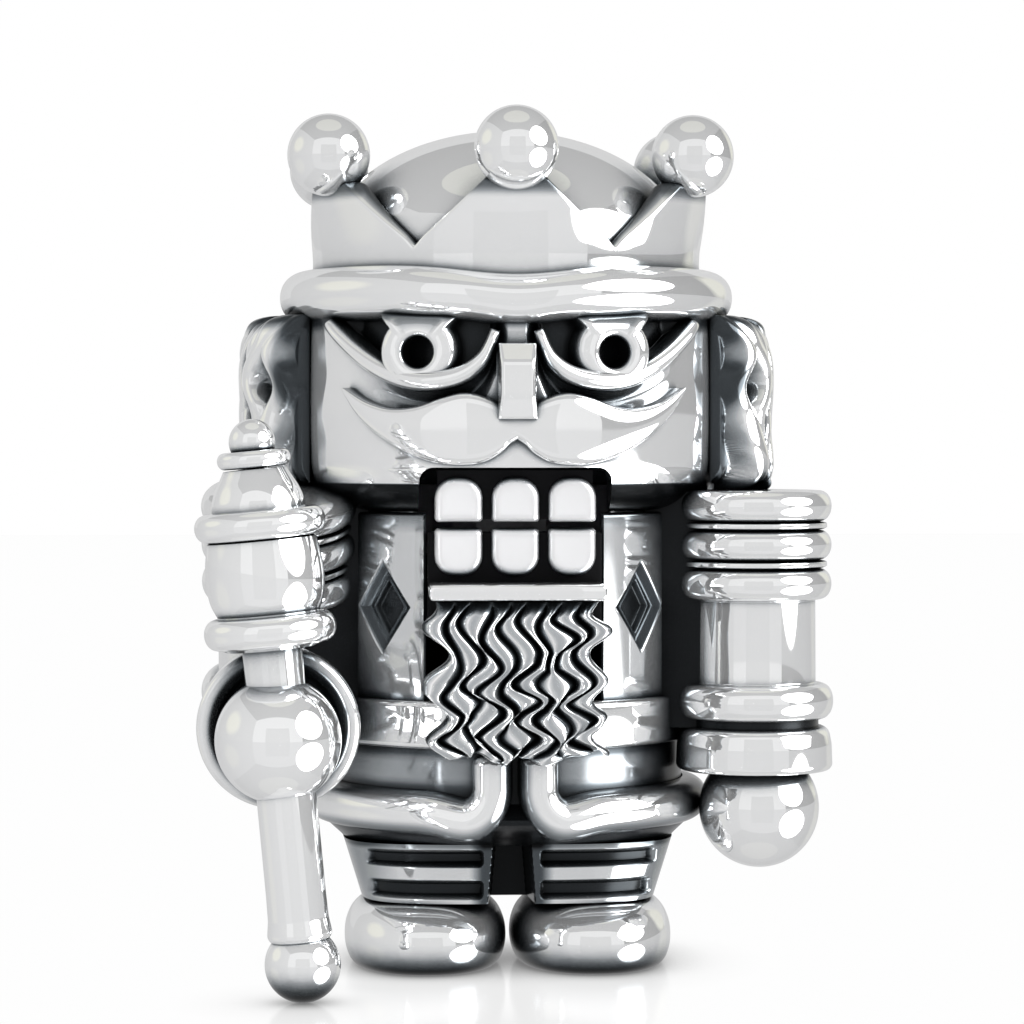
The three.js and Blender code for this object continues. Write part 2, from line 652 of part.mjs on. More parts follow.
// ---- arms ---------------------------------------------------------------------------------
function sleeveProfile() {
  const profile = [[0, 51.7], [14.2, 51.7], [16.2, 53.4], [16.2, 57.2], [14.2, 58.9], [12.5, 59.1]];
  profile.push([12.5, 76], [14.4, 76.2], [15.8, 77.7], [15.8, 81.2], [14.4, 82.7], [13.6, 83.4]);
  profile.push([14.4, 84.2], [15.8, 85.6], [15.8, 88.9], [14.4, 90.3], [13.6, 91.2], [14.4, 92.1]);
  profile.push([15.8, 93.6], [15.4, 96.4], [12.6, 98], [0, 98.5]);
  return profile;
}

function leftUpperArm() {
  const sleeve = lathe(sleeveProfile(), 20).translate([...LEFT_ARM, 0]);
  const neck = rodZ(...LEFT_ARM, 44, 52, 3);
  return sleeve.add(neck).subtract(bodyEnvelope()).subtract(rodX(20, 48, LEFT_ARM[1], 88, 1.8 + GAP));
}

function cuffBody() {
  const profile = [[3.4 + GAP, 5], [11, 5], [13, 0.4], [14.2, 0], [15, 0.8], [15.4, 3], [15.2, 8.2]];
  profile.push([14.2, 8.9], [3.4 + GAP, 8.9]);
  return lathe([...profile, profile[0]], 20);
}

function leftCuff() {
  const cuff = cuffBody().translate([LEFT_ARM[0], LEFT_ARM[1], 42.4]);
  return cuff.subtract(ball(HAND_R + GAP, LEFT_HAND, 18, 12)).subtract(bodyEnvelope());
}

function leftHand() {
  return ball(HAND_R, LEFT_HAND).subtract(disc(3.4 + GAP, 42, 52, PIN_SEGMENTS).translate([...LEFT_ARM, 0]));
}

// Takes an upright arm to the right shoulder, where it leans with the elbow back.
function onRightShoulder(body) {
  return body.translate([0, 0, -98.5]).rotate([RIGHT_ARM_TILT, 0, 0]).translate(RIGHT_SHOULDER);
}

function rightUpperArm() {
  const placed = onRightShoulder(lathe(sleeveProfile(), 20));
  const pocket = alongForearm(disc(11.4 + GAP, -4, 60, 20));
  const pin = rodX(-48, -20, LEFT_ARM[1], 88, 1.8 + GAP);
  return placed.subtract(pocket).subtract(bodyEnvelope()).subtract(pin);
}

// Takes a solid made along +Z to the forearm axis, with its foot at the elbow.
function alongForearm(body) {
  return body.rotate([90 + FOREARM_DROP, 0, 0]).translate(RIGHT_ELBOW);
}

function rightForearm() {
  const profile = [[0, -3.6], [11.4, -3.6], [11.4, 26], [13.2, 27], [13.2, 31]];
  profile.push([3, 31], [3, 36.4], [0, 36.4]);
  return alongForearm(lathe(profile, 20)).subtract(bodyEnvelope());
}

function rightCuff() {
  const cuff = alongForearm(cuffBody().rotate([180, 0, 0]).translate([0, 0, 40.4]));
  return cuff.subtract(ball(HAND_R + GAP, RIGHT_HAND, 18, 12));
}

function rightHand() {
  const hand = ball(HAND_R, RIGHT_HAND).subtract(alongForearm(disc(3.4 + GAP, 30, 37.4, PIN_SEGMENTS)));
  return hand.subtract(alongSceptre(disc(SHAFT_R + GAP, -10, 120, SMALL_SEGMENTS)));
}

// ---- sceptre ------------------------------------------------------------------------------
// Takes a solid made along +Z to the sceptre axis, with height 0 at the end ball's centre.
function alongSceptre(body) {
  return body.rotate([0, SCEPTRE_TILT, 0]).translate(SCEPTRE_FOOT);
}

function sceptreShaft() {
  const profile = [[0, 5.2], [2.6, 5.2], [2.6, 7.2], [5, 7.2], [SHAFT_R, 8], [SHAFT_R, 60.6], [2.6, 60.6]];
  profile.push([2.6, 66], [0, 66]);
  return alongSceptre(lathe(profile, SMALL_SEGMENTS));
}

function sceptreEndBall() {
  return alongSceptre(ball(END_BALL_R, [0, 0, 0]).subtract(disc(5.4, 6.9, 12).add(disc(2.9, 4.9, 12))));
}

function sceptreHead() {
  const profile = [[0, 67], [2.9, 67], [2.9, 60.9], [11, 60.9], [12.8, 62.6], [12.8, 67.4], [11, 69.2]];
  profile.push([11.6, 70.4], [12.2, 73], [11.4, 79], [10.4, 81.8], [11.4, 82.2], [12.7, 83.4]);
  profile.push([12.7, 87.2], [11.2, 88.6], [9.2, 88.9], [9.8, 90.4], [8.8, 94], [6.9, 96.6], [4, 97.2]);
  profile.push([0, 97.2]);
  return alongSceptre(lathe(profile, SMALL_SEGMENTS).subtract(disc(1.6 + GAP, 94, 100, PIN_SEGMENTS)));
}

function sceptreFinial() {
  const profile = [[0, 94.4], [1.6, 94.4], [1.6, 97.5], [6.4, 97.5], [7.1, 98.6], [6.4, 99.8], [3, 100]];
  profile.push([3.7, 101], [3.9, 102.2], [3.2, 104.4], [1.6, 105.6], [0, 106]);
  return alongSceptre(lathe(profile, SMALL_SEGMENTS));
}

// ---- the whole figurine -------------------------------------------------------------------
function placeLegs() {
  for (const [name, side] of [['left', 1], ['right', -1]]) {
    place(`boot_${name}`, boot(side));
    place(`leg_bolt_${name}`, screwZ(side * LEG_X, 0, 4.3, 29.3, 2.5, 4.4, 3), STEEL);
    place(`waist_bolt_${name}`, screwZ(side * WAIST_BOLT_X, 0, 18.3, 53.3, 2, 3.8, 3), STEEL);
  }
  place('trousers', trousers());
}

function placeCoatAndTorso() {
  place('coat_skirt', coatSkirt());
  place('coat_hem', coatHem());
  place('belt', belt());
  place('torso_shell', torsoShell());
  place('neck_collar', neckCollar(), STEEL);
}

function placeHead() {
  place('head_shell', headShell());
  place('upper_jaw_block', upperJawBlock(), BLACKENED);
  place('nose', nose());
  place('moustache', moustache());
  place('brow_roll', browRoll());
  for (const [name, side] of [['left', 1], ['right', -1]]) {
    place(`eye_${name}`, eye(side));
    place(`lower_lid_${name}`, lowerLid(side));
    place(`hair_${name}`, hairSide(side));
    place(`jaw_block_screw_${name}`, screwZ(side * 12, -26, 105.3, 119.3, 1.8, 3.4, 3), STEEL);
  }
}

function placeTeeth() {
  for (const [name, offset] of [['left', 1], ['centre', 0], ['right', -1]]) {
    const x = offset * TOOTH_PITCH;
    place(`upper_tooth_${name}`, tooth(x, UPPER_TOOTH_Z, UPPER_TOOTH_Y, true), SATIN);
    place(`lower_tooth_${name}`, tooth(x, LOWER_TOOTH_Z, LOWER_TOOTH_Y, false), SATIN);
  }
}

function placeJaw() {
  place('jaw_lever', jawLever());
  place('jaw_pivot_pin', rodX(-PIVOT_HALF_LENGTH, PIVOT_HALF_LENGTH, PIVOT_Y, PIVOT_Z, PIVOT_R), STEEL);
  place('beard', beard());
  place('beard_screw', beardScrew(), STEEL);
}

function placeCrown() {
  place('crown_band', crownBand());
  place('crown_cap', crownCap());
  place('crown_bolt', crownBolt(), STEEL);
  for (let i = 0; i < CROWN_POINTS; i += 1) {
    const turn = (360 * i) / CROWN_POINTS;
    place(`crown_ball_${i + 1}`, ball(BALL_R, [0, -BALL_RING_R, BALL_Z]).rotate([0, 0, turn]));
  }
}

function placeArms() {
  place('left_upper_arm', leftUpperArm());
  place('left_cuff', leftCuff());
  place('left_hand', leftHand());
  place('left_shoulder_pin', rodX(27.8, 44, LEFT_ARM[1], 88, 1.8), STEEL);
  place('right_upper_arm', rightUpperArm());
  place('right_forearm', rightForearm());
  place('right_cuff', rightCuff());
  place('right_hand', rightHand());
  place('right_shoulder_pin', rodX(-44, -27.8, LEFT_ARM[1], 88, 1.8), STEEL);
}

function placeSceptre() {
  place('sceptre_shaft', sceptreShaft());
  place('sceptre_end_ball', sceptreEndBall());
  place('sceptre_head', sceptreHead());
  place('sceptre_finial', sceptreFinial());
}

// The origin goes to the middle of the footprint, on the ground.
function settleOnOrigin() {
  const bounds = new THREE.Box3().setFromObject(group);
  const centre = bounds.getCenter(new THREE.Vector3());
  for (const mesh of group.children) {
    mesh.geometry.translate(-centre.x, -centre.y, -bounds.min.z);
  }
}

placeLegs();
placeCoatAndTorso();
placeHead();
placeTeeth();
placeJaw();
placeCrown();
placeArms();
placeSceptre();
settleOnOrigin();

export default group;
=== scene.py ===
"""Polished silver nutcracker king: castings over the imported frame, a white studio and the camera."""

import math
from functools import partial

import bmesh
import bpy
import numpy as np
from mathutils import Euler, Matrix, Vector


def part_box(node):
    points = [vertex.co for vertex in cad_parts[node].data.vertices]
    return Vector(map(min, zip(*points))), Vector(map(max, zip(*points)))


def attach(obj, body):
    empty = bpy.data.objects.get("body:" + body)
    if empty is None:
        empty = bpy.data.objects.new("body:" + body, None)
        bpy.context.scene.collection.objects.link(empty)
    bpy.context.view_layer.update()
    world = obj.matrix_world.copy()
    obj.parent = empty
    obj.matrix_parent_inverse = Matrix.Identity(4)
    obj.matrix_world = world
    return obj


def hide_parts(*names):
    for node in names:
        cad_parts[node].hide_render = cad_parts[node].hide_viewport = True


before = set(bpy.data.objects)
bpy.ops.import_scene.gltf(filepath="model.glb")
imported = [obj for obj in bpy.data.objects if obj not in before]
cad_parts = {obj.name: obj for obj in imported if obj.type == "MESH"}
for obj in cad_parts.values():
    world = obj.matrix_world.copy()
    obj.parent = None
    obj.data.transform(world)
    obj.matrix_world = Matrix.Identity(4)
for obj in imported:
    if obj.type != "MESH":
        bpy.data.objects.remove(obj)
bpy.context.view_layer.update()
MM = 0.001


def middle(node):
    low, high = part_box(node)
    return (low + high) / 2


# The king's own upright axis. Shapes below are in millimetres from it, with -Y to the front.
CAP = middle("crown_cap")
AXIS = np.array([CAP.x, CAP.y, 0.0])


def rel(node):
    """Centre of a CAD node in millimetres from the king's axis."""
    return (np.array(middle(node)) - AXIS) / MM


# ---- mesh helpers ----
def new_object(name, data):
    obj = bpy.data.objects.new(name, data)
    bpy.context.scene.collection.objects.link(obj)
    return obj


def closed_mesh(name, verts, faces):
    """A mesh in metres in the shared frame, with every face turned outwards."""
    mesh = bpy.data.meshes.new(name)
    mesh.from_pydata((np.asarray(verts, float) * MM + AXIS).tolist(), [], faces)
    mesh.validate()
    work = bmesh.new()
    work.from_mesh(mesh)
    bmesh.ops.recalc_face_normals(work, faces=work.faces)
    work.to_mesh(mesh)
    work.free()
    return mesh


def blacken(mesh, amounts):
    """Stores how black each point is painted, 0 for bright metal and 1 for the floor of a crevice: painted
    shade, partly black patina.
    """
    layer = mesh.attributes.new("shade_and_patina", "FLOAT", "POINT")
    layer.data.foreach_set("value", np.clip(np.asarray(amounts, float), 0, 1))


def add(name, verts, faces, body, nodes, slot, material, sharp=38.0, shade_and_patina=None):
    mesh = closed_mesh(name, verts, faces)
    if shade_and_patina is not None:
        blacken(mesh, shade_and_patina)
    mesh.polygons.foreach_set("use_smooth", [True] * len(mesh.polygons))
    mesh.set_sharp_from_angle(angle=math.radians(sharp))
    mesh.materials.append(material)
    obj = new_object(name, mesh)
    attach(obj, body)
    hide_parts(*nodes)
    return obj


def cast(name, shape, sharp=38.0, body="figure", shade_and_patina=None):
    """A polished silver casting in place of one CAD node."""
    return add(name + "_cast", *shape, body, [name], "polished_silver", SILVER, sharp, shade_and_patina)


def grid_faces(rows, cols, close_rows=False, close_cols=True):
    faces = []
    for i in range(rows if close_rows else rows - 1):
        a = i * cols
        b = ((i + 1) % rows) * cols
        for j in range(cols if close_cols else cols - 1):
            k = (j + 1) % cols
            faces.append((a + j, a + k, b + k, b + j))
    return faces


def tube_grid(loops):
    """Loops of equal length stacked into a skin, closed with a flat face at each end."""
    loops = np.asarray(loops, float)
    rows, cols = loops.shape[:2]
    ends = [tuple(range(cols - 1, -1, -1)), tuple((rows - 1) * cols + j for j in range(cols))]
    return loops.reshape(-1, 3), grid_faces(rows, cols) + ends


def full_turn(count):
    return np.linspace(0, 2 * math.pi, count, endpoint=False)


def line_normals(line):
    tangent = np.gradient(line, axis=0)
    tangent /= np.linalg.norm(tangent, axis=1)[:, None]
    return np.column_stack([-tangent[:, 1], tangent[:, 0]])


def ring_at(r, turn, z):
    """Points at a radius and a height round the king's axis, from turn 0 at the front towards his left."""
    return np.column_stack([r * np.sin(turn), -r * np.cos(turn), z + 0 * turn])


def ring_skin(loops):
    """Loops of equal length joined into a skin whose last loop meets its first."""
    loops = np.asarray(loops, float)
    return loops.reshape(-1, 3), grid_faces(*loops.shape[:2], close_rows=True)


def relief(outer, inner):
    """A closed plate between two equal grids of points, each a list of rows."""
    outer, inner = np.array(outer), np.array(inner)
    rows, cols = outer.shape[:2]
    base = rows * cols
    front = grid_faces(rows, cols, close_cols=False)
    faces = front + [tuple(base + i for i in f[::-1]) for f in front]
    place = np.arange(base).reshape(rows, cols)
    rim = np.concatenate([place[0], place[1:, -1], place[-1, -2::-1], place[-2:0:-1, 0]]).tolist()
    faces += [(q, p, base + p, base + q) for p, q in zip(rim, rim[1:] + rim[:1])]
    return np.vstack([outer.reshape(-1, 3), inner.reshape(-1, 3)]), faces


def softened(low, high, corner):
    """(place, inset) along a bar, which round its two ends."""
    near = 0.3 * corner
    return ((low, corner), (low + near, near), (low + corner, 0), (high - corner, 0), (high - near, near),
            (high, corner))


def box_shape(xs, ys, zs, corner):
    """A block with every edge rounded."""
    (y0, y1), (z0, z1) = ys, zs
    mid = np.array([(y0 + y1) / 2, (z0 + z1) / 2])
    half = np.array([(y1 - y0) / 2, (z1 - z0) / 2])
    line = rounded([(y0, mid[1], 0), (y0, z1, corner), (y1, z1, corner), (y1, z0, corner), (y0, z0, corner),
                    (y0, mid[1], 0)], 6)[:-1]
    return tube_grid([[(x, y, z) for y, z in (line - mid) * (1 - inset / half) + mid]
                      for x, inset in softened(*xs, corner)])


def side_shape(points, half, corner):
    """A side outline in (y, z) made solid across X with softened edges."""
    line = rounded(points, 5)[:-1]
    closed = np.vstack([line[-1:], line, line[:1]])
    tangent = closed[2:] - closed[:-2]
    tangent /= np.linalg.norm(tangent, axis=1)[:, None] + 1e-9
    normal = np.column_stack([tangent[:, 1], -tangent[:, 0]])
    ends = softened(-half, half, corner)
    return tube_grid([[(x, y, z) for y, z in line - normal * inset] for x, inset in ends])


def mirrored(shape):
    verts, faces = shape
    return np.asarray(verts) * np.array([-1, 1, 1]), [f[::-1] for f in faces]


def merged(*parts):
    verts, faces, base = [], [], 0
    for v, f in parts:
        verts.append(np.asarray(v, float))
        faces += [tuple(i + base for i in face) for face in f]
        base += len(v)
    return np.concatenate(verts), faces


def rounded(points, steps=7):
    """[(x, y, radius)] to a dense line whose corners are arcs of those radii."""
    out = []
    for i, (x, y, radius) in enumerate(points):
        here = np.array([x, y], float)
        if radius <= 0 or i in (0, len(points) - 1):
            out.append(here)
            continue
        before = np.array(points[i - 1][:2], float) - here
        after = np.array(points[i + 1][:2], float) - here
        lb, la = np.linalg.norm(before), np.linalg.norm(after)
        before, after = before / lb, after / la
        angle = math.acos(float(np.clip(before @ after, -1, 1)))
        if angle > math.pi - 0.02:
            out.append(here)
            continue
        cut = min(radius / math.tan(angle / 2), 0.49 * lb, 0.49 * la)
        radius = cut * math.tan(angle / 2)
        half = (before + after) / np.linalg.norm(before + after)
        centre = here + half * radius / math.sin(angle / 2)
        start, end = here + before * cut - centre, here + after * cut - centre
        sweep = math.atan2(start[0] * end[1] - start[1] * end[0], float(start @ end))
        for k in range(steps + 1):
            t = sweep * k / steps
            c, s = math.cos(t), math.sin(t)
            out.append(centre + np.array([start[0] * c - start[1] * s, start[0] * s + start[1] * c]))
    return np.array(out)


def spline(points, per):
    """Smooth line through the points, with per steps between each two."""
    p = np.asarray(points, float)
    out = []
    for i in range(len(p) - 1):
        a, b, c, d = p[max(i - 1, 0)], p[i], p[i + 1], p[min(i + 2, len(p) - 1)]
        for t in np.arange(per) / per:
            out.append(0.5 * (2 * b + (c - a) * t + (2 * a - 5 * b + 4 * c - d) * t * t
                              + (3 * b - a - 3 * c + d) * t ** 3))
    return np.array(out + [p[-1]])


def lathe(profile, segments, scale=(1, 1), centre=(0, 0, 0), power=2.0):
    """Turned shape. The profile is (radius, height) and may start or end on the axis."""
    profile = np.asarray(profile, float)
    turn = full_turn(segments)
    cx, sy = np.cos(turn), np.sin(turn)
    if power != 2.0:
        size = (np.abs(cx) ** power + np.abs(sy) ** power) ** (-1 / power)
        cx, sy = cx * size, sy * size
    verts, rings = [], []
    for r, z in profile:
        if r < 1e-6:
            rings.append([len(verts)])
            verts.append((0, 0, z))
        else:
            rings.append(list(range(len(verts), len(verts) + segments)))
            verts += [(r * c * scale[0], r * s * scale[1], z) for c, s in zip(cx, sy)]
    faces = []
    for low, high in zip(rings, rings[1:]):
        for j in range(segments):
            k = (j + 1) % segments
            if len(low) == 1:
                faces.append((low[0], high[k], high[j]))
            elif len(high) == 1:
                faces.append((low[j], low[k], high[0]))
            else:
                faces.append((low[j], low[k], high[k], high[j]))
    if len(rings[0]) > 1 and np.allclose(profile[0], profile[-1]):
        faces = [tuple(i % (len(verts) - segments) for i in f) for f in faces]
        verts = verts[: len(verts) - segments]
    return np.array(verts) + np.array(centre), faces


def turned(shape, rotation, centre):
    """A shape rotated by degrees about X, Y, Z and moved."""
    verts, faces = shape
    matrix = np.array(Euler([math.radians(a) for a in rotation]).to_matrix())
    return np.asarray(verts) @ matrix.T + np.array(centre), faces


def smoothstep(x):
    x = np.clip(x, 0, 1)
    return x * x * (3 - 2 * x)


# ---- materials ----
def node(tree, kind, **values):
    made = tree.nodes.new(kind)
    for key, value in values.items():
        setattr(made, key, value)
    return made


def ramp(tree, source, stops):
    made = node(tree, "ShaderNodeValToRGB")
    elements = made.color_ramp.elements
    while len(elements) < len(stops):
        elements.new(0.5)
    for element, (position, value) in zip(elements, stops):
        element.position = position
        element.color = (*value, 1) if isinstance(value, tuple) else (value, value, value, 1)
    tree.links.new(source, made.inputs["Fac"])
    return made.outputs["Color"]


def noise(tree, scale, detail):
    coords = node(tree, "ShaderNodeTexCoord")
    made = node(tree, "ShaderNodeTexNoise")
    made.inputs["Scale"].default_value = scale
    made.inputs["Detail"].default_value = detail
    tree.links.new(coords.outputs["Object"], made.inputs["Vector"])
    return made.outputs["Fac"]


def feed(tree, socket, value):
    """Links a socket to another node's output, or sets it to a plain value."""
    if isinstance(value, bpy.types.NodeSocket):
        tree.links.new(value, socket)
    else:
        socket.default_value = value


def math_node(tree, operation, a, b=0.0):
    made = node(tree, "ShaderNodeMath", operation=operation)
    feed(tree, made.inputs[0], a)
    feed(tree, made.inputs[1], b)
    return made.outputs[0]


def mix_colour(tree, factor, a, b):
    made = node(tree, "ShaderNodeMix", data_type="RGBA")
    for index, value in ((0, factor), (6, a), (7, b)):
        feed(tree, made.inputs[index], value)
    return made.outputs[2]


def new_material(name):
    material = bpy.data.materials.new(name)
    material.use_nodes = True
    return material, material.node_tree


def silver(name, bright=(0.93, 0.935, 0.94), reach=13.0, roughness=0.035, metallic=0.85):
    """Mirror-polished silver whose colour is painted dark in hollows and crevices and beside other parts and
    the floor: painted shade, partly black patina.
    """
    material, tree = new_material(name)
    shader = tree.nodes["Principled BSDF"]
    shader.inputs["Metallic"].default_value = metallic
    op = partial(math_node, tree)
    near = node(tree, "ShaderNodeAmbientOcclusion", samples=8)
    near.inputs["Distance"].default_value = reach * MM
    close = node(tree, "ShaderNodeAmbientOcclusion", samples=6)
    close.inputs["Distance"].default_value = 2.5 * MM
    grain = noise(tree, 420.0, 3.0)
    # Random jitter of where the painted shade begins.
    shade_jitter = op("MULTIPLY", op("SUBTRACT", grain, 0.5), 0.05)
    open_far = op("ADD", near.outputs["AO"], shade_jitter)
    far_shade_tone = ramp(tree, open_far, [(0.14, 0.0), (0.36, 0.22), (0.55, 0.62), (0.72, 0.94), (0.82, 1.0)])
    close_shade_tone = ramp(tree, close.outputs["AO"], [(0.15, 0.05), (0.45, 0.50), (0.78, 1.0)])
    stored = node(tree, "ShaderNodeAttribute", attribute_name="shade_and_patina")
    stored_unshaded = op("SUBTRACT", 1.0, stored.outputs["Fac"])
    unshaded = op("MULTIPLY", op("MULTIPLY", far_shade_tone, close_shade_tone), stored_unshaded)
    # Painted shade: the base colour runs to black where the occlusion nodes and the stored amounts find a
    # place shut in, by parts or by the floor.
    colour = ramp(tree, unshaded, [(0.0, (0.004, 0.0045, 0.005)), (0.35, (0.085, 0.098, 0.108)),
                                (0.7, (0.43, 0.455, 0.475)), (1.0, bright)])
    tree.links.new(colour, shader.inputs["Base Color"])
    fine = noise(tree, 260.0, 4.0)
    rough = op("MULTIPLY_ADD", fine, 0.03)
    rough.node.inputs[2].default_value = roughness - 0.015
    dull = op("MULTIPLY", op("SUBTRACT", 1.0, unshaded), 0.22)
    tree.links.new(op("ADD", rough, dull), shader.inputs["Roughness"])
    return material


SILVER = silver("polished_silver")
# Teeth: the same painted shade over a shorter reach.
SATIN = silver("satin_tooth", bright=(0.70, 0.70, 0.71), reach=5.0, roughness=0.22, metallic=0.6)


def plain(name, colour, metallic, roughness):
    material, tree = new_material(name)
    shader = tree.nodes["Principled BSDF"]
    shader.inputs["Metallic"].default_value = metallic
    cloud = noise(tree, 350.0, 4.0)
    dark = tuple(c * 0.72 for c in colour)
    tree.links.new(mix_colour(tree, cloud, (*dark, 1), (*colour, 1)), shader.inputs["Base Color"])
    rough = math_node(tree, "MULTIPLY_ADD", cloud, 0.2)
    rough.node.inputs[2].default_value = roughness - 0.1
    tree.links.new(rough, shader.inputs["Roughness"])
    return material


STEEL = plain("steel_fixing", (0.5, 0.51, 0.53), 1.0, 0.34)
# Painted shade: a black, almost unreflecting surface for the parts inside the mouth.
SHADE_BLACK = plain("blackened", (0.004, 0.004, 0.0045), 0.0, 0.8)
SHADE_BLACK.node_tree.nodes["Principled BSDF"].inputs["Specular IOR Level"].default_value = 0.08


# ---- boots and trousers ----
def boots():
    outline = spline([(12.0, 0.0), (13.6, 0.25), (14.9, 1.6), (15.65, 4.0), (15.8, 6.6), (15.4, 9.2),
                      (14.2, 11.8), (12.0, 13.7), (9.0, 14.35)], 8)
    profile = np.vstack([[(0, 0)], outline, [(0, 14.4)]])
    for side, name in ((1, "boot_left"), (-1, "boot_right")):
        c = rel(name)
        outwards = 0.5 * side
        cast(name, lathe(profile, 160, (1.06, 1.6), (c[0] + outwards, c[1], 0), power=2.25))


def superellipse(a, b, power, count):
    t = full_turn(count)
    c, s = np.cos(t), np.sin(t)
    size = (np.abs(c / a) ** power + np.abs(s / b) ** power) ** (-1 / power)
    return c * size, s * size


def window(x, z, x0, x1, z0, z1, corner, slope):
    """0 outside a rounded rectangle, rising to 1 over slope inside its edge."""
    hx, hz = (x1 - x0) / 2 - corner, (z1 - z0) / 2 - corner
    dx = np.maximum(np.abs(x - (x0 + x1) / 2) - hx, 0)
    dz = np.maximum(np.abs(z - (z0 + z1) / 2) - hz, 0)
    return 1 - smoothstep((np.hypot(dx, dz) - corner + slope) / slope)


def trousers():
    """A squarish tapering block split by a cleft, with two long sunk windows across each leg."""
    count, loops, shade_and_patina = 900, [], []
    for z in np.linspace(14.3, 26.6, 96):
        t = (z - 14.3) / 12.3
        x, y = superellipse(30.5 + 3.8 * t, 23.1 + 1.7 * t, 3.6, count)
        half = 2.6 + 1.0 * (1 - t)
        cleft = smoothstep((half + 1.4 - np.abs(x)) / 1.4)
        sunk = window(np.abs(x), z, 5.6, 30.2, 21.7, 25.7, 1.2, 1.5)
        sunk = np.maximum(sunk, window(np.abs(x), z, 5.6, 29.4, 15.0, 19.4, 1.2, 1.5))
        norm = np.hypot(x, y)
        x, y = x * (1 - 1.6 * sunk / norm), y * (1 - 0.6 * cleft) * (1 - 3.0 * sunk / norm)
        loops.append(np.column_stack([x, y - 1.0, np.full(count, z)]))
        # Painted shade: darker along the cleft, towards both sides and under the coat, and black in the sunk
        # windows and the cleft.
        shade = 0.10 + 0.6 * smoothstep((9.0 - np.abs(x)) / 3.5) + 0.3 * smoothstep((np.abs(x) - 22) / 10)
        shade += 0.35 * smoothstep((z - 25) / 1.5)
        black = np.maximum(0.90 * np.clip(1.5 * sunk - 0.3, 0, 1), shade)
        shade_and_patina.append(np.maximum(black, 0.97 * cleft))
    cast("trousers", tube_grid(loops), shade_and_patina=np.concatenate(shade_and_patina))


# ---- coat, belt and torso ----
TORSO_R, TORSO_BORE = 36.8, 32.8
JAW_OPENING = 17.65  # half its width
HEM_R, HEM_Z, HEM_EDGE = 37.1, 34.1, 4.45  # where the roll lies, its height, its front edges' distance


def coat_skirt():
    """Runs from a squarish foot over the trousers to the round coat behind the hem."""
    count, loops, shade_and_patina = 360, [], []
    sx, sy = superellipse(34.6, 26.0, 3.0, count)
    low = np.hypot(sx, sy)
    angle = np.arctan2(sy, sx)
    # Height, share of the round coat in the outline, and how far it stands out from that.
    foot = ((26.2, 0.0, -1.5), (26.5, 0.0, -0.3), (27.2, 0.08, 0.0), (28.4, 0.34, 0.2), (29.6, 0.62, 0.3),
            (30.8, 0.86, 0.2), (32.0, 1.0, 0), (33.0, 1.0, 0))
    for z, mixed, grow in foot:
        r = low * (1 - mixed) + 39.4 * mixed + grow
        loops.append(np.column_stack([r * np.cos(angle), r * np.sin(angle), np.full(count, z)]))
        # Painted shade under the hem.
        shade_and_patina.append(np.full(count, 0.85))
    # Painted shade on the coat behind the hem, darker at its top and bottom edges and in the middle at the
    # front.
    middle_front = 1 - smoothstep(np.abs(np.cos(angle)) / 0.6)
    for z in np.linspace(36.0, 46.9, 12):
        loops.append(np.column_stack([TORSO_R * np.cos(angle), TORSO_R * np.sin(angle), np.full(count, z)]))
        edge = smoothstep(1 - min(z - 38.2, 46.7 - z) / 2.6)
        shade_and_patina.append(0.34 + 0.44 * edge + 0.12 * middle_front)
    shade_and_patina = np.concatenate(shade_and_patina)
    verts, faces = tube_grid(loops)
    # The gap between the coat's front edges is painted black as shade.
    opening = (verts[:, 1] < 0) & (np.abs(verts[:, 0]) < 7)
    shade_and_patina[opening] = 0.95
    cast("coat_skirt", (verts, faces), shade_and_patina=shade_and_patina)


def hem_path():
    """Centre line of one front edge and half the hem, as (distance round the coat, height)."""
    corner = rounded([(HEM_EDGE, 46.3, 0), (HEM_EDGE, HEM_Z, 5.2), (30, HEM_Z, 0)], 24)
    first = np.column_stack([np.full(12, HEM_EDGE), np.linspace(46.3, 39.9, 12)])
    rest = np.column_stack([np.linspace(10.2, math.pi * HEM_R, 170), np.full(170, HEM_Z)])
    line = np.vstack([first[:-1], corner[1:-1], rest])
    line[:, 1] -= 1.3 * np.exp(-((line[:, 0] - 9.5) / 5.0) ** 2) * smoothstep((40 - line[:, 1]) / 5)
    return line


def coat_hem():
    """A half-round roll that runs down each front edge and back along the hem."""
    path = hem_path()
    normal = line_normals(path)
    a = np.linspace(0, math.pi, 41)
    across, out = np.cos(a), 5.2 * np.sin(a) ** 0.82
    # Painted shade, heavier along the roll's lower side and lighter along its upper side.
    black = 0.62 * smoothstep((-0.25 - across) / 0.65) + 0.45 * smoothstep((across - 0.55) / 0.4)
    parts = []
    for side in (1, -1):
        loops = []
        for i, (p, n) in enumerate(zip(path, normal)):
            size = math.sqrt(max(0.02, 1 - max(0, 1 - i / 3) ** 2))
            wide = across * (3.95 + 0.45 * smoothstep((i - 12) / 20)) * size
            loops.append(ring_at(HEM_R + out * size, side * (p[0] + n[0] * wide) / HEM_R, p[1] + n[1] * wide))
        parts.append(tube_grid(loops))
    cast("coat_hem", merged(*parts), shade_and_patina=np.tile(black, 2 * len(path)))


def belt():
    inner, outer, low, high = 35.7, 38.9, 46.8, 56.4
    profile = rounded([(inner, low, 0), (outer, low, 1.3), (outer, high, 1.3), (inner, high, 0),
                       (inner, low, 0)])
    cast("belt", lathe(profile, 256))


def open_turns(count, lip):
    """Turns round the torso's outside and bore, from one side of the jaw opening to the other."""
    first, last = math.asin(JAW_OPENING / TORSO_R), math.asin(JAW_OPENING / TORSO_BORE)
    outer = np.linspace(first + lip / TORSO_R, 2 * math.pi - first - lip / TORSO_R, count)
    inner = np.linspace(2 * math.pi - last - lip / TORSO_BORE, last + lip / TORSO_BORE, count // 2)
    return outer, inner


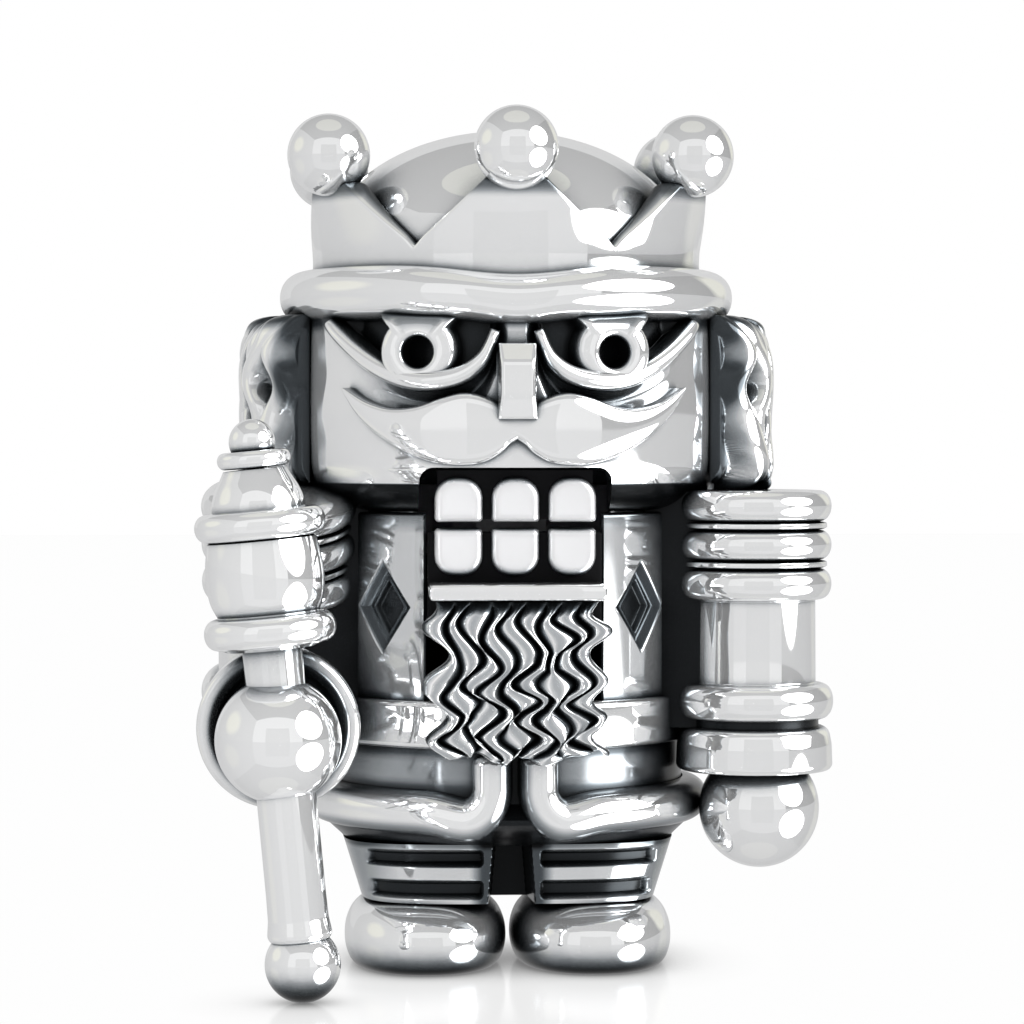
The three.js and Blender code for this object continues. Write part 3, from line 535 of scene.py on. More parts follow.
def torso():
    """A shell open at the front for the jaw, with a stepped diamond sunk on each side of it."""
    count, loops, shade_and_patina = 900, [], []
    outer, inner = open_turns(count, 0.6)
    side_fill = 2.7 * np.abs(np.sin(outer)) ** 10
    bore_y, front_y = (back - math.sqrt(r ** 2 - JAW_OPENING ** 2)
                       for r, back in ((TORSO_BORE, 0.3), (TORSO_R, 0.5)))
    away = np.degrees(math.pi - np.abs(outer - math.pi))
    # Painted shade on the sides beside the arms.
    beside = smoothstep((away - 54) / 14) * smoothstep((108 - away) / 26)
    for z in [47.4, 50, 53, 56, 58, *np.linspace(59, 90, 150), 92, 93.2, 93.6, 93.9, 94.05, 94.1]:
        trim = 0.5 * max(0, (z - 93.5) / 0.6) ** 2
        r = TORSO_R - trim + side_fill
        black = np.zeros(count)
        for side in (1, -1):
            turn = outer - side * math.radians(45.4)
            around = np.arctan2(np.sin(turn), np.cos(turn))
            inwards = 5.9 * (1 - np.abs(around * TORSO_R) / 7.4 - abs(z - 75) / 9.7)
            r = r - 1.7 * smoothstep(inwards / 1.9) - 1.2 * smoothstep((inwards - 2.5) / 0.6)
            # Painted shade in the sunk diamonds.
            sunk = 0.66 * smoothstep(inwards / 0.5) + 0.22 * smoothstep((inwards - 2.3) / 0.8)
            black = np.maximum(black, sunk)
        # Painted shade down at the belt and under the head, and a little all over.
        shade = 0.8 * smoothstep((58.4 - z) / 1.6) + 0.45 * smoothstep((z - 90.0) / 3.4)
        shade = np.maximum(max(shade, 0.12), 0.80 * beside)
        loops.append(np.vstack([[(JAW_OPENING, bore_y, z), (JAW_OPENING, front_y, z)], ring_at(r, outer, z),
                                [(-JAW_OPENING, front_y, z), (-JAW_OPENING, bore_y, z)],
                                ring_at(TORSO_BORE, inner, z)]))
        # The bore and the sides of the opening are painted black as shade.
        dark = np.full(len(loops[-1]), 0.95)
        dark[2:2 + count] = np.maximum(black, shade)
        shade_and_patina.append(dark)
    cast("torso_shell", tube_grid(loops), shade_and_patina=np.concatenate(shade_and_patina))


# ---- head ----
HEAD_R = 44.7


def lid_curve(count):
    """Centre of the ridge under each eye: points (x, z) from the inner to the outer corner."""
    points = [(4.3, 130.7), (6.5, 125.4), (10.6, 122.0), (16.2, 120.6), (22.2, 121.0), (27.8, 123.3),
              (32.9, 127.2), (38.2, 132.8)]
    line = spline(points, 12)
    at = np.linspace(0, len(line) - 1, count)
    return np.column_stack([np.interp(at, np.arange(len(line)), line[:, k]) for k in (0, 1)])


def lid_height(ax, inner, outer):
    """Height of that ridge at a distance from the face's middle, with those to use beyond its corners."""
    x, z = lid_curve(60).T
    return np.interp(ax, x, z, left=inner, right=outer)


def head_radius(x, z, front):
    """Radius of the head at (x, z), with the hollows of the face where front is true."""
    r = HEAD_R - 0.35 * ((z - 116) / 18) ** 2
    fillet = np.clip((104.4 - z) / 10, 0, 1)
    r = r - 10 * (1 - np.sqrt(1 - fillet ** 2))
    ax = np.abs(x)
    edge = lid_height(ax, 135, 136)
    inside = smoothstep((z - edge + 0.4) / 2.2) * smoothstep((ax - 3.6) / 2.2) * smoothstep((37.5 - ax) / 4)
    below = np.exp(-((z - (edge - 4.4)) / 2.9) ** 2) * smoothstep((ax - 1.5) / 3) * smoothstep((33 - ax) / 12)
    return r - front * (4.6 * inside + 2.8 * below)


def head():
    """A hollow drum with the sockets and valleys of the face pressed into its front."""
    turn = full_turn(1100)
    in_front = np.cos(turn) > 0
    loops = [ring_at(TORSO_BORE, turn, 104.0), ring_at(TORSO_BORE, turn, 94.5)]
    for z in [*np.linspace(94.4, 104, 34), *np.linspace(104.4, 117, 30), *np.linspace(117.4, 133.8, 66)]:
        loops.append(ring_at(head_radius(HEAD_R * np.sin(turn), z, in_front), turn, z))
    loops.append(ring_at(36, turn, 133.9))
    cut_mouth(cast("head_shell", tube_grid(loops)))


def cut_mouth(obj):
    """Opens the mouth through the front of the head."""
    half, top, below = 19.2, 103.4, 90
    outline = rounded([(0, below, 0), (half, below, 0), (half, top, 2.8), (-half, top, 2.8),
                       (-half, below, 0), (0, below, 0)], 8)[:-1]
    sides = [[(x, y, z) for x, z in outline] for y in (-60, -20)]
    tool = new_object("mouth_tool", closed_mesh("mouth_tool", *tube_grid(sides)))
    modifier = obj.modifiers.new("mouth", "BOOLEAN")
    modifier.object = tool
    modifier.solver = "EXACT"
    graph = bpy.context.evaluated_depsgraph_get()
    result = bpy.data.meshes.new_from_object(obj.evaluated_get(graph))
    obj.modifiers.clear()
    obj.data = result
    result.polygons.foreach_set("use_smooth", [True] * len(result.polygons))
    result.set_sharp_from_angle(angle=math.radians(38))
    points = np.array([v.co for v in result.vertices])
    blacken(result, face_shade_and_patina(*((points - AXIS) / MM).T))
    bpy.data.objects.remove(tool)


def face_shade_and_patina(x, y, z):
    """Painted shade: black in the sockets, over the moustache, under the brow, along the lower edge and the
    sides and in the mouth.
    """
    front = smoothstep(-y / 12)
    ax = np.abs(x)
    edge = lid_height(ax, 131, 134)
    socket = smoothstep((z - edge) / 1.2) * smoothstep((38 - ax) / 2)
    valley = smoothstep((edge - z) / 1.0) * smoothstep((z - edge + 9.5) / 5.0) * smoothstep((31 - ax) / 13)
    brow = smoothstep((z - 130.2) / 2.6)
    inside = (np.hypot(x, y) < 43.5) & (z < 113) & (y < 0)
    black = front * np.maximum(0.82 * socket, 0.12 * valley)
    rim = 0.45 * smoothstep((98.6 - z) / 3.0) + 0.45 * smoothstep((ax - 43.3) / 1.5)
    black = np.maximum(black, np.clip(rim, 0, 0.8))
    return np.where(inside, 0.97, np.maximum(black, 0.75 * brow))


def on_head(x, z, lift):
    """Point on the head's round front, lifted outwards."""
    return ring_at(HEAD_R + lift, np.arcsin(np.clip(np.asarray(x) / (HEAD_R + 1.5), -0.999, 0.999)), z)


def pillow(lower, upper, height, across, power, sink=-0.8, taper=0.0):
    """A raised strip on the head between two edge lines, domed across and drawn in at both ends."""
    t = np.linspace(0, 1, len(lower))
    ends = np.minimum(1, np.minimum(t, 1 - t) / taper) if taper > 0 else np.ones(len(t))
    ends = np.sqrt(1 - (1 - ends) ** 2)
    v = 0.5 - 0.5 * np.cos(np.linspace(0, math.pi, across))
    loops = []
    for low, high, end in zip(lower, upper, ends):
        line = low * (1 - v[:, None]) + high * v[:, None]
        dome = (1 - np.abs(2 * v - 1) ** power) ** (1 / power) * height * end
        top = on_head(line[:, 0], line[:, 1], 0.2 + dome)
        base = on_head(line[::-1, 0], line[::-1, 1], np.full(across, sink))
        loops.append(np.vstack([top, base]))
    return tube_grid(loops)


def resample(line, count):
    """The same line with its points evenly spaced."""
    line = np.asarray(line, float)
    step = np.r_[0, np.cumsum(np.linalg.norm(np.diff(line, axis=0), axis=1))]
    at = np.linspace(0, step[-1], count)
    return np.column_stack([np.interp(at, step, line[:, k]) for k in range(line.shape[1])])


def moustache():
    lower = [(0, 108.9), (1.6, 107.9), (3.4, 106.2), (6.6, 104.5), (10.8, 103.9), (15.9, 104.3),
             (21.6, 106.2), (27.6, 110.0), (31.6, 114.3), (34.0, 119.2)]
    upper = [(0, 115.4), (2.4, 115.6), (5.2, 117.0), (8.2, 118.0), (11.3, 118.2), (15.2, 117.2),
             (19.8, 115.6), (24.7, 115.2), (29.4, 116.6), (33.4, 119.3)]
    lower, upper = (resample(spline(line, 10), 110) for line in (lower, upper))
    half = pillow(lower, upper, 2.6, 40, 3.4)
    cast("moustache", merged(half, mirrored(half)), 50)


def lower_lids():
    """The ridges under the eyes, widest halfway."""
    t = np.linspace(0, 1, 110)
    centre = lid_curve(len(t))
    normal = line_normals(centre)
    width = 0.7 + 1.35 * np.sin(math.pi * (t * 0.94 + 0.03)) ** 0.75
    lower = centre - normal * width[:, None]
    upper = centre + normal * width[:, None]
    left = pillow(lower, upper, 2.3, 24, 2.0, sink=-2.4, taper=0.1)
    cast("lower_lid_left", left, 60)
    cast("lower_lid_right", mirrored(left), 60)


def eyes():
    """Rings with a deep pupil, each flaring into a short stalk under the brow."""
    count = 180
    around = full_turn(count)
    up = np.sin(around)
    stalk = smoothstep((up - 0.60) / 0.28)
    rim = 7.9 * (1 - stalk) + stalk * 8.9 / np.maximum(up, 0.5)
    loops, shade_and_patina = [], []
    # Painted shade: the pupil black, and the rim darker up towards the brow.
    pupil = ((3.1, -3.0, 1.0), (3.1, 1.7, 0.95), (3.25, 2.4, 0.5), (3.6, 2.8, 0.1), (4.2, 3.0, 0))
    for r, out, black in pupil:
        loops.append(np.column_stack([r * np.cos(around), np.full(count, -out), r * up]))
        shade_and_patina.append(np.full(count, black))
    for share, out in ((0.76, 2.9), (0.86, 2.55), (0.93, 2.05), (0.98, 1.4), (1.0, 0.6), (1.0, -3.0)):
        high = rim * share * up
        lean = out - 2.2 * smoothstep((high - 5.5) / 3.0)
        wide = 1 + 0.45 * stalk * smoothstep((share - 0.7) / 0.25)
        loops.append(np.column_stack([rim * share * np.cos(around) * wide, -lean, high]))
        shade_and_patina.append(0.65 * smoothstep((high - 5.6) / 1.8))
    eye, shade_and_patina = ring_skin(loops), np.concatenate(shade_and_patina)
    for side, name in ((1, "eye_left"), (-1, "eye_right")):
        cast(name, turned(eye, (0, 0, side * 17), (side * 18.9, -39.2, 126.3)), 50, shade_and_patina=shade_and_patina)


def nose():
    """A flat-fronted block, a little wider at the foot, whose side edges are drawn in."""
    face_y = -44.4
    side = rounded([(-44.5, 127.9, 0), (-47.6, 127.9, 0.7), (-50.4, 123.9, 3.5), (-50.4, 117.2, 4.0),
                    (-49.4, 113.0, 0.8), (-44.5, 112.8, 0)], 8)
    y, z = side.T
    half = 3.35 + 0.5 * smoothstep((118 - z) / 6) + 0.35 * smoothstep((z - 123) / 4)
    loops = []
    for share in np.sin(np.linspace(-math.pi / 2, math.pi / 2, 25)):
        pull = 0.75 * (1 - math.sqrt(max(0, 1 - max(0, (abs(share) - 0.72) / 0.28) ** 2)))
        loops.append(np.column_stack([share * half, np.where(y < -44.6, np.minimum(y + pull, face_y), y), z]))
    cast("nose", tube_grid(loops), 50)


def teeth():
    """Block teeth with a domed face, rounded at the top in the upper row and at the bottom in the lower."""
    corner, small = 4.3, 0.9
    dome = ((0, 0.0), (0, 0.8), (0.06, 1.5), (0.22, 2.1), (0.5, 2.55), (0.95, 2.85), (1.6, 2.97), (2.4, 3.0))
    for name in ("left", "centre", "right"):
        for row, body in (("upper", "figure"), ("lower", "jaw")):
            label = f"{row}_tooth_{name}"
            low, high = ((np.array(end) - AXIS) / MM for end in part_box(label))
            middle_x, w, h = (low[0] + high[0]) / 2, (high[0] - low[0]) / 2, high[2] - low[2]
            line = rounded([(0, 0, 0), (w, 0, small), (w, h, corner), (-w, h, corner), (-w, 0, small),
                            (0, 0, 0)], 9)[:-1]
            centre = np.array([0, h / 2])
            loops = []
            for inset, out in dome:
                x, z = ((line - centre) * (1 - inset / np.array([w, h / 2])) + centre).T
                z = z if row == "upper" else h - z
                loops.append(np.column_stack([middle_x + x, np.full(len(x), high[1] - out), low[2] + z]))
            add(label + "_cast", *tube_grid(loops), body, [label], "satin_tooth", SATIN, 40)


# ---- brow roll and crown ----
def brow_roll():
    """A thick roll round the head that dips over the nose."""
    turn = full_turn(420)
    in_front = np.cos(turn) > 0
    loops = []
    for a in full_turn(64):
        c, s = math.cos(a), math.sin(a)
        r = 41 + 6.3 * math.copysign(abs(c) ** 0.9, c)
        lift = 5.6 * math.copysign(abs(s) ** 0.92, s)
        x = r * np.sin(turn)
        low = 1.5 * np.exp(-(x / 7.0) ** 2)
        high = 2.1 * np.exp(-(x / 15) ** 2)
        dip = in_front * (low * (1 - s) / 2 + high * (1 + s) / 2)
        loops.append(ring_at(r, turn, 138.3 + lift - dip))
    cast("brow_roll", ring_skin(loops), 60)


def crown_top(turn):
    """Height of the crown's edge around it: six points with curved sides."""
    pitch = math.pi / 3
    from_point = np.abs((turn + pitch / 2) % pitch - pitch / 2) * 42.0
    from_notch = 21.99 - from_point
    rise = np.clip(from_notch / 16.0, 0, 1)
    return 148.45 + 12.6 * (0.86 * rise + 0.14 * rise ** 2) - 0.5 * np.exp(-(from_notch / 1.6) ** 2)


def crown_band():
    """A wall that leans out and thickens towards its points, bright outside and painted black inside as
    shade.
    """
    turn = full_turn(960)
    edge, foot, inner_foot = 1.5, 138.2, 141.0
    shoulder = crown_top(turn) - edge

    def radius(z):
        return 40.3 + 0.3 * np.clip((148 - z) / 8, 0, 1) + 3.6 * np.clip((z - 145) / 16, 0, 1.1) ** 1.6

    def wall(z):
        return 3.3 + 3.6 * np.clip((z - 149) / 11, 0, 1)

    # Paints the tips of the points darker.
    def tip(z):
        return 0.6 * smoothstep((z - 156.8) / 2.6)

    loops, shade_and_patina = [], []
    for t in np.linspace(0, 1, 40):
        z = foot + (shoulder - foot) * t
        loops.append(ring_at(radius(z), turn, z))
        shade_and_patina.append(tip(z))
    for share in np.arange(1, 18) / 18:
        a = math.pi * share
        z = shoulder + edge * math.sin(a) ** 0.7
        loops.append(ring_at(radius(z) - wall(z) / 2 * (1 - math.cos(a)), turn, z))
        shade_and_patina.append(np.maximum(0.88 * smoothstep((share - 0.16) / 0.6), tip(z)))
    for t in np.linspace(1, 0, 24):
        z = inner_foot + (shoulder - inner_foot) * t
        loops.append(ring_at(radius(z) - wall(z), turn, z))
        shade_and_patina.append(np.full(len(turn), 0.88))
    cast("crown_band", ring_skin(loops), 60, shade_and_patina=np.concatenate(shade_and_patina))


def crown_cap():
    a = np.linspace(math.radians(16), math.pi / 2, 60)
    dome = np.column_stack([38.9 * np.cos(a), 146.4 + 26.85 * np.sin(a)])
    dome[-1, 0] = 0
    profile = np.vstack([[(0, 141.5), (37.5, 141.5)], dome])
    cast("crown_cap", lathe(profile, 256))


def ball_profile(radius, steps=40):
    a = np.linspace(-math.pi / 2, math.pi / 2, steps)
    profile = np.column_stack([radius * np.cos(a), radius * np.sin(a)])
    profile[0, 0] = profile[-1, 0] = 0
    return profile


def crown_balls():
    for i in range(6):
        name = f"crown_ball_{i + 1}"
        cast(name, lathe(ball_profile(8.4), 72, centre=rel(name)))


# ---- hair ----
def quarter_round(x):
    """0 to 1 along a quarter circle as x goes from 0 to 1."""
    return np.sqrt(1 - (1 - np.clip(x, 0, 1)) ** 2)


def hair_body(s):
    """Thickness of the hair under its locks at a distance round the head from the face."""
    return 0.4 + 7.4 * smoothstep((s + 1.5) / 14.5)


def hair_height(s, z):
    """Thickness of the hair at a distance round the head and a height: S-shaped locks of round section on a
    body of hair that grows thicker away from the face."""
    share = (z - 99) / 36
    body = hair_body(s)
    behind = smoothstep((s - 17) / 12)

    def wave(size, turns, phase):
        return size * np.sin(2 * math.pi * (share * turns + phase))

    best = (0.42 + 0.36 * behind) * body
    for i in range(21):
        sway = wave(1.7, 1.35, 0.31 * i) + wave(0.8, 2.9, 0.43 * i)
        centre = 4.6 + 3.9 * i + sway - (3.4 - 0.1 * i) * smoothstep((share - 0.55) / 0.42)
        radius = 2.5 + 0.5 * behind + wave(0.7, 1.1, 0.29 * i)
        lift = 0.9 * math.sin(2.3 * i) + wave(1.1, 1.7, 0.37 * i)
        inside = np.clip(1 - ((s - centre) / radius) ** 2, 0, 1)
        flank = smoothstep((radius + 0.5 - np.abs(s - centre)) / 1.0)
        best = np.maximum(best, flank * (0.70 * body + lift) + 1.25 * radius * np.sqrt(inside))
    return best


def hair():
    """Two side curtains of hair, each a relief of locks running down from the brow roll to a wavy edge."""
    rows, cols, hair_r, inner_r = 180, 560, 46.0, 44.8
    u = np.linspace(0, 1, cols)
    s = u * hair_r * math.radians(112)
    a = math.radians(66) + s / hair_r
    foot = 99.4 + 1.2 * np.sin(s * 0.9) + 0.8 * np.sin(s * 2.3 + 1)
    ends = quarter_round(np.minimum(u / 0.01, (1 - u) / 0.02))
    most = 12.3 - 1.6 * smoothstep((s - 40) / 20)
    for side, name in ((1, "hair_left"), (-1, "hair_right")):
        outer, inner, shade_and_patina = [], [], []
        for t in np.linspace(0, 1, rows):
            z = foot + (134.6 - foot) * t
            low = quarter_round(t / 0.10)
            high = 0.10 + 0.90 * quarter_round((1 - t) / 0.34)
            h = np.maximum(0.15, (0.9 + hair_height(s, z)) * ends * low * high)
            outer.append(ring_at(44.9 + most * np.tanh(h / most * 1.75), side * a, z))
            inner.append(ring_at(inner_r, side * a, z))
            # Painted shade: black between the locks, beside the face, under the brow roll and on the inner
            # side.
            deep = 0.58 * hair_body(s) + 0.4 - h / (low * high + 0.05)
            hollow = (0.72 - 0.27 * smoothstep((s - 17) / 12)) * smoothstep(deep / 1.8)
            beside = 0.8 * smoothstep((3.4 - s) / 2.4)
            shade_and_patina.append(np.maximum(np.maximum(hollow, beside), 0.8 * smoothstep((z - 130.5) / 3.5)))
        cast(name, relief(outer, inner), 80, shade_and_patina=np.concatenate(shade_and_patina + [np.ones(rows * cols)]))


# ---- beard ----
STRANDS = 9
# Where the locks swing furthest to each side on a way down of 970, at the left, middle and right.
SWINGS = ([-60, 160, 370, 560, 710, 860, 990], [-60, 170, 390, 540, 640, 780, 900, 1000],
          [60, 180, 300, 460, 600, 710, 840, 950, 1060])


def beard_swing(u, t):
    """Sideways shift of the locks in millimetres at (u, t), both arrays."""
    phases = [np.interp(t * 970, knots, np.arange(len(knots)) - first)
              for knots, first in zip(SWINGS, (1, 1, 0))]
    shares = np.clip(-u, 0, 1), 1 - np.clip(np.abs(u), 0, 1), np.clip(u, 0, 1)
    drift = 0.20 * np.sin(10.8 * u + 1.2) + 0.15 * np.sin(7.6 * u + 7.0 * t)
    phase = drift + sum(share * swing for share, swing in zip(shares, phases))
    return -2.3 * smoothstep((t + 0.05) / 0.2) * np.cos(math.pi * phase)


def strand_edges(t):
    """Sideways places of the grooves between locks at a share t of the way down."""
    narrowest, half_beard = 1.7, 18.8
    k = np.arange(STRANDS + 1)
    u = 2 * k / STRANDS - 1
    edges = 16.4 * u + beard_swing(u, np.full(len(k), t)) * (0.92 + 0.3 * np.sin(3.7 * k + 4 * t))
    for _ in range(20):
        short = np.clip(narrowest - np.diff(edges), 0, None) / 2
        edges[:-1] -= short
        edges[1:] += short
    return np.clip(edges, -half_beard, half_beard)


def beard():
    """S-curved locks whose crests run down the mesh lines, with deep grooves between them."""
    rows, per = 200, 28
    cols = STRANDS * per + 1
    top, back, most = 77.0, -46.5, 4.35
    u = np.linspace(-1, 1, cols)
    strand = np.arange(cols) / per
    index = np.minimum(strand.astype(int), STRANDS - 1)
    across = np.abs(2 * (strand - index) - 1)
    crest = (1 - across ** 1.8) ** 0.8 - 0.16 * smoothstep((0.4 - across) / 0.4)
    # Painted shade along each lock: a little dark all over and lighter on its flanks, with black in the
    # grooves and up under the chin below.
    lock_tone = 0.17 + 0.08 * smoothstep((0.30 - across) / 0.2)
    lock_tone -= 0.17 * np.exp(-((across - 0.42) / 0.11) ** 2)
    foot = 45.7 + 0.9 * np.sin(u * 9.5 + 0.6) + 0.4 * np.sin(u * 23 + 1) + 1.6 * np.abs(u) ** 3
    edge = quarter_round((1 - np.abs(u)) / 0.03)
    outer, inner, shade_and_patina = [], [], []
    for t in np.linspace(0, 1, rows):
        z = top + (foot - top) * t
        x = np.interp(strand, np.arange(STRANDS + 1), strand_edges(t))
        tall = 2.2 + 0.6 * np.sin(index * 2.4 + t * 9.0) + 0.4 * np.sin(index * 4.1 - t * 15.0)
        lift = (0.9 + crest * tall * smoothstep((t + 0.02) / 0.12)) * edge * quarter_round((1 - t) / 0.06)
        outer.append(np.column_stack([x, back - 0.1 - np.minimum(lift, most), z]))
        inner.append(np.column_stack([x, np.full(cols, back), z]))
        groove = lock_tone + 0.46 * smoothstep((across - 0.55) / 0.3) * tall / 2.2
        shade_and_patina.append(np.maximum(groove, 0.75 * smoothstep((0.12 - t) / 0.12)))
    lug = box_shape((-8, 8), (-46.6, -36.5), (70, 77), 0.6)
    # The back of the beard and the lug are painted black as shade.
    black = np.concatenate(shade_and_patina + [np.full(rows * cols + len(lug[0]), 0.9)])
    cast("beard", merged(relief(outer, inner), lug), 75, "jaw", black)


# ---- jaw lever ----
def jaw_lever():
    """The bright lever and chin bar, and the bed that holds the lower teeth, painted black as shade inside
    the mouth.
    """
    wide = (-17.4, 17.4)
    chin = box_shape(wide, (-51, -34), (77.4, 80.5), 0.7)
    block = box_shape(wide, (-36.2, -14), (69.6, 80.5), 0.5)
    plate = box_shape(wide, (-36.2, -33.4), (79, 90.5), 0.5)
    web = [(-20, 74, 0), (-16, 69.6, 1), (8, 51.4, 4), (12, 50.4, 3), (16, 51.4, 3), (24, 58.4, 4),
           (38, 58.4, 3), (43.6, 54, 3), (43.6, 26, 2), (46.6, 23.6, 2), (49.4, 26, 2), (49.4, 60, 5),
           (46, 65.6, 4), (22, 66, 6), (-10, 79, 3), (-20, 79, 0), (-20, 74, 0)]
    cast("jaw_lever", merged(chin, side_shape(web, 7.6, 0.8)), body="jaw")
    add("jaw_bed_cast", *merged(block, plate), "jaw", ["jaw_lever"], "polished_silver", SHADE_BLACK)


# ---- arms ----
HAND_R = 12.3
SLEEVE_TOP = 98.5


def hoop(inner, outer, low, high):
    """Half of a round hoop section, from its foot to its top, for use inside a turned profile."""
    half = (high - low) / 2
    reach = min(half, outer - inner)
    a = np.linspace(-math.pi / 2, math.pi / 2, 19)
    flat = np.sign(np.cos(a)) * np.abs(np.cos(a)) ** 0.8
    return [(outer - reach + reach * c, (low + high) / 2 + half * math.sin(t), 0) for c, t in zip(flat, a)]


def sleeve_profile():
    """Three hoops at the shoulder with a thin ring between each two, a plain tube and a hoop at the foot."""
    foot = 51.7
    line = [(0, foot, 0), (12, foot, 0)] + hoop(13.4, 16.2, foot, 58.9)
    line += [(12.6, 59.0, 0.8), (12.5, 76.1, 0.8)]
    for low, high in ((76.2, 82.5), (84.3, 90.4)):
        thin = ((14.2, 0.2, 0), (14.9, 0.5, 0.3), (14.9, 1.4, 0.3), (14.2, 1.6, 0))
        line += hoop(13.0, 15.8, low, high) + [(r, high + up, corner) for r, up, corner in thin]
    return rounded(line + hoop(12.9, 15.8, 92.1, SLEEVE_TOP) + [(0, SLEEVE_TOP, 0)], 6)


def cuff_profile():
    return rounded([(3.5, 8.9, 0), (3.5, 5.4, 0), (11.2, 5.2, 0.8), (12.0, 1.6, 1.4), (13.6, -0.1, 1.6),
                    (16.1, 0.3, 2.6), (15.9, 5.5, 5), (15.2, 9.2, 2.8), (3.5, 9.0, 0)], 9)


def side_web(start, end, low, high):
    """The plain slab that joins an arm to the side of the torso between two plan points."""
    start, end = np.array(start, float), np.array(end, float)
    along = end - start
    across = np.array([-along[1], along[0]]) / np.linalg.norm(along) * 7.5
    plan = (start + across, end + across, end - across, start - across)
    return tube_grid([[(x, y, z) for x, y in plan] for z in (low, (low + high) / 2, high)])


def shade_and_patina_by_part(*parts):
    """One amount for each point of each (shape, amount), in the order in which merged joins them."""
    return np.concatenate([np.full(len(shape[0]), amount) for shape, amount in parts])


def left_arm():
    x, y = 50.2, -18.5
    sleeve = lathe(sleeve_profile(), 168, centre=(x, y, 0))
    neck = rounded([(0, 44, 0), (13.2, 49.5, 0.5), (13.2, 52.3, 0), (0, 52.3, 0)])
    neck = lathe(neck, 96, centre=(x, y, 0))
    web = side_web((30, -12.6), (46, -17.7), 50, 98.2)
    # The neck and the web are painted black as shade between the arm and the torso.
    black = shade_and_patina_by_part((sleeve, 0), (neck, 0.9), (web, 0.97))
    cast("left_upper_arm", merged(sleeve, neck, web), shade_and_patina=black)
    cast("left_cuff", lathe(cuff_profile()[::-1], 168, centre=(x, y, 41.0)))
    cast("left_hand", lathe(ball_profile(HAND_R, 60), 120, centre=(x + 1.0, y - 0.3, 33.3)))


def along_forearm(shape):
    return turned(shape, (95.5, 0, 0), (-47.0, -10, 56.2))


def right_arm():
    """The upper arm leans forward under its shoulder, and the forearm points at the viewer."""
    sleeve = lathe(sleeve_profile() - np.array([0, SLEEVE_TOP]), 168)
    sleeve = turned(sleeve, (16, 0, 0), (-47.3, -20.5, SLEEVE_TOP))
    web = side_web((-31, -12.6), (-44, -16), 56, 97)
    # The web is painted black as shade between the arm and the torso.
    cast("right_upper_arm", merged(sleeve, web), shade_and_patina=shade_and_patina_by_part((sleeve, 0), (web, 0.97)))
    forearm = rounded([(0, -3.6, 0), (12.4, -3.6, 1), (12.4, 26, 0.5), (13.2, 27, 0.8), (13.2, 31.4, 0.5),
                       (0, 31.4, 0)])
    cast("right_forearm", along_forearm(lathe(forearm, 144)))
    cuff = cuff_profile()[::-1] * np.array([1, -1]) + np.array([0, 40.4])
    cast("right_cuff", along_forearm(lathe(cuff, 168)))
    cast("right_hand", lathe(ball_profile(HAND_R, 60), 120, centre=(-46.9, -57.8, 51.0)))


# ---- sceptre ----
def along_sceptre(shape):
    return turned(shape, (0, -5.44, 0), (-42.2, -58, 7.4))


def sceptre():
    """Four turned pieces along one leaning axis, with heights from the middle of the end ball."""
    shaft = rounded([(0, 3.5, 0), (5.2, 4.4, 0), (6.4, 5.6, 2.0), (5.9, 9.0, 3.0), (5.8, 14, 0),
                     (5.8, 61.8, 0.4), (0, 61.8, 0)], 8)
    barrel = spline([(9.9, 68.4), (11.0, 71.0), (11.45, 74.5), (11.3, 78.5), (10.6, 82.6)], 8)
    dome = spline([(9.1, 88.6), (8.9, 90.4), (8.1, 92.6), (6.9, 94.8), (6.1, 96.3)], 8)
    head_line = [(0, 61.6, 0), (9, 61.6, 0)] + hoop(10, 12.8, 62.1, 68.1) + [(r, z, 0) for r, z in barrel]
    head_line += hoop(10, 12.7, 82.9, 88.4) + [(r, z, 0) for r, z in dome] + [(0, 96.5, 0)]
    knob_r, knob_z = 4.5, 101.5
    knob = [(knob_r * math.cos(a), knob_z + knob_r * math.sin(a), 0)
            for a in np.linspace(math.radians(-25), math.pi / 2, 26)[:-1]]
    finial = [(0, 96.4, 0)] + hoop(5.2, 7.1, 96.6, 99.9) + knob + [(0, knob_z + knob_r, 0)]
    pieces = (("shaft", shaft, 96), ("end_ball", ball_profile(7.38, 48), 96),
              ("head", rounded(head_line), 144), ("finial", rounded(finial), 96))
    for name, profile, segments in pieces:
        cast("sceptre_" + name, along_sceptre(lathe(profile, segments)), body="sceptre")


# ---- studio ----
def floor():
    """A pale polished floor with a soft painted shadow where something stands on it."""
    mesh = bpy.data.meshes.new("floor")
    s = 3.0
    mesh.from_pydata([(-s, -s, 0), (s, -s, 0), (s, s, 0), (-s, s, 0)], [], [(0, 1, 2, 3)])
    obj = new_object("floor", mesh)
    material, tree = new_material("floor_white")
    tree.nodes.remove(tree.nodes["Principled BSDF"])
    shadow = node(tree, "ShaderNodeAmbientOcclusion", samples=8)
    shadow.inputs["Distance"].default_value = 20 * MM
    # Painted contact shadow: the floor's glow drops where occlusion is high.
    tone = ramp(tree, shadow.outputs["AO"], [(0.0, 0.16), (0.5, 0.60), (0.8, 0.90), (0.94, 1.0)])
    pale = node(tree, "ShaderNodeEmission")
    tree.links.new(tone, pale.inputs["Color"])
    pale.inputs["Strength"].default_value = 1.17
    polish = node(tree, "ShaderNodeBsdfGlossy")
    polish.inputs["Roughness"].default_value = 0.13
    mixed = node(tree, "ShaderNodeMixShader")
    for socket, value in zip(mixed.inputs, (0.28, pale.outputs[0], polish.outputs[0])):
        feed(tree, socket, value)
    tree.links.new(mixed.outputs[0], tree.nodes["Material Output"].inputs["Surface"])
    mesh.materials.append(material)
    obj.visible_glossy = False


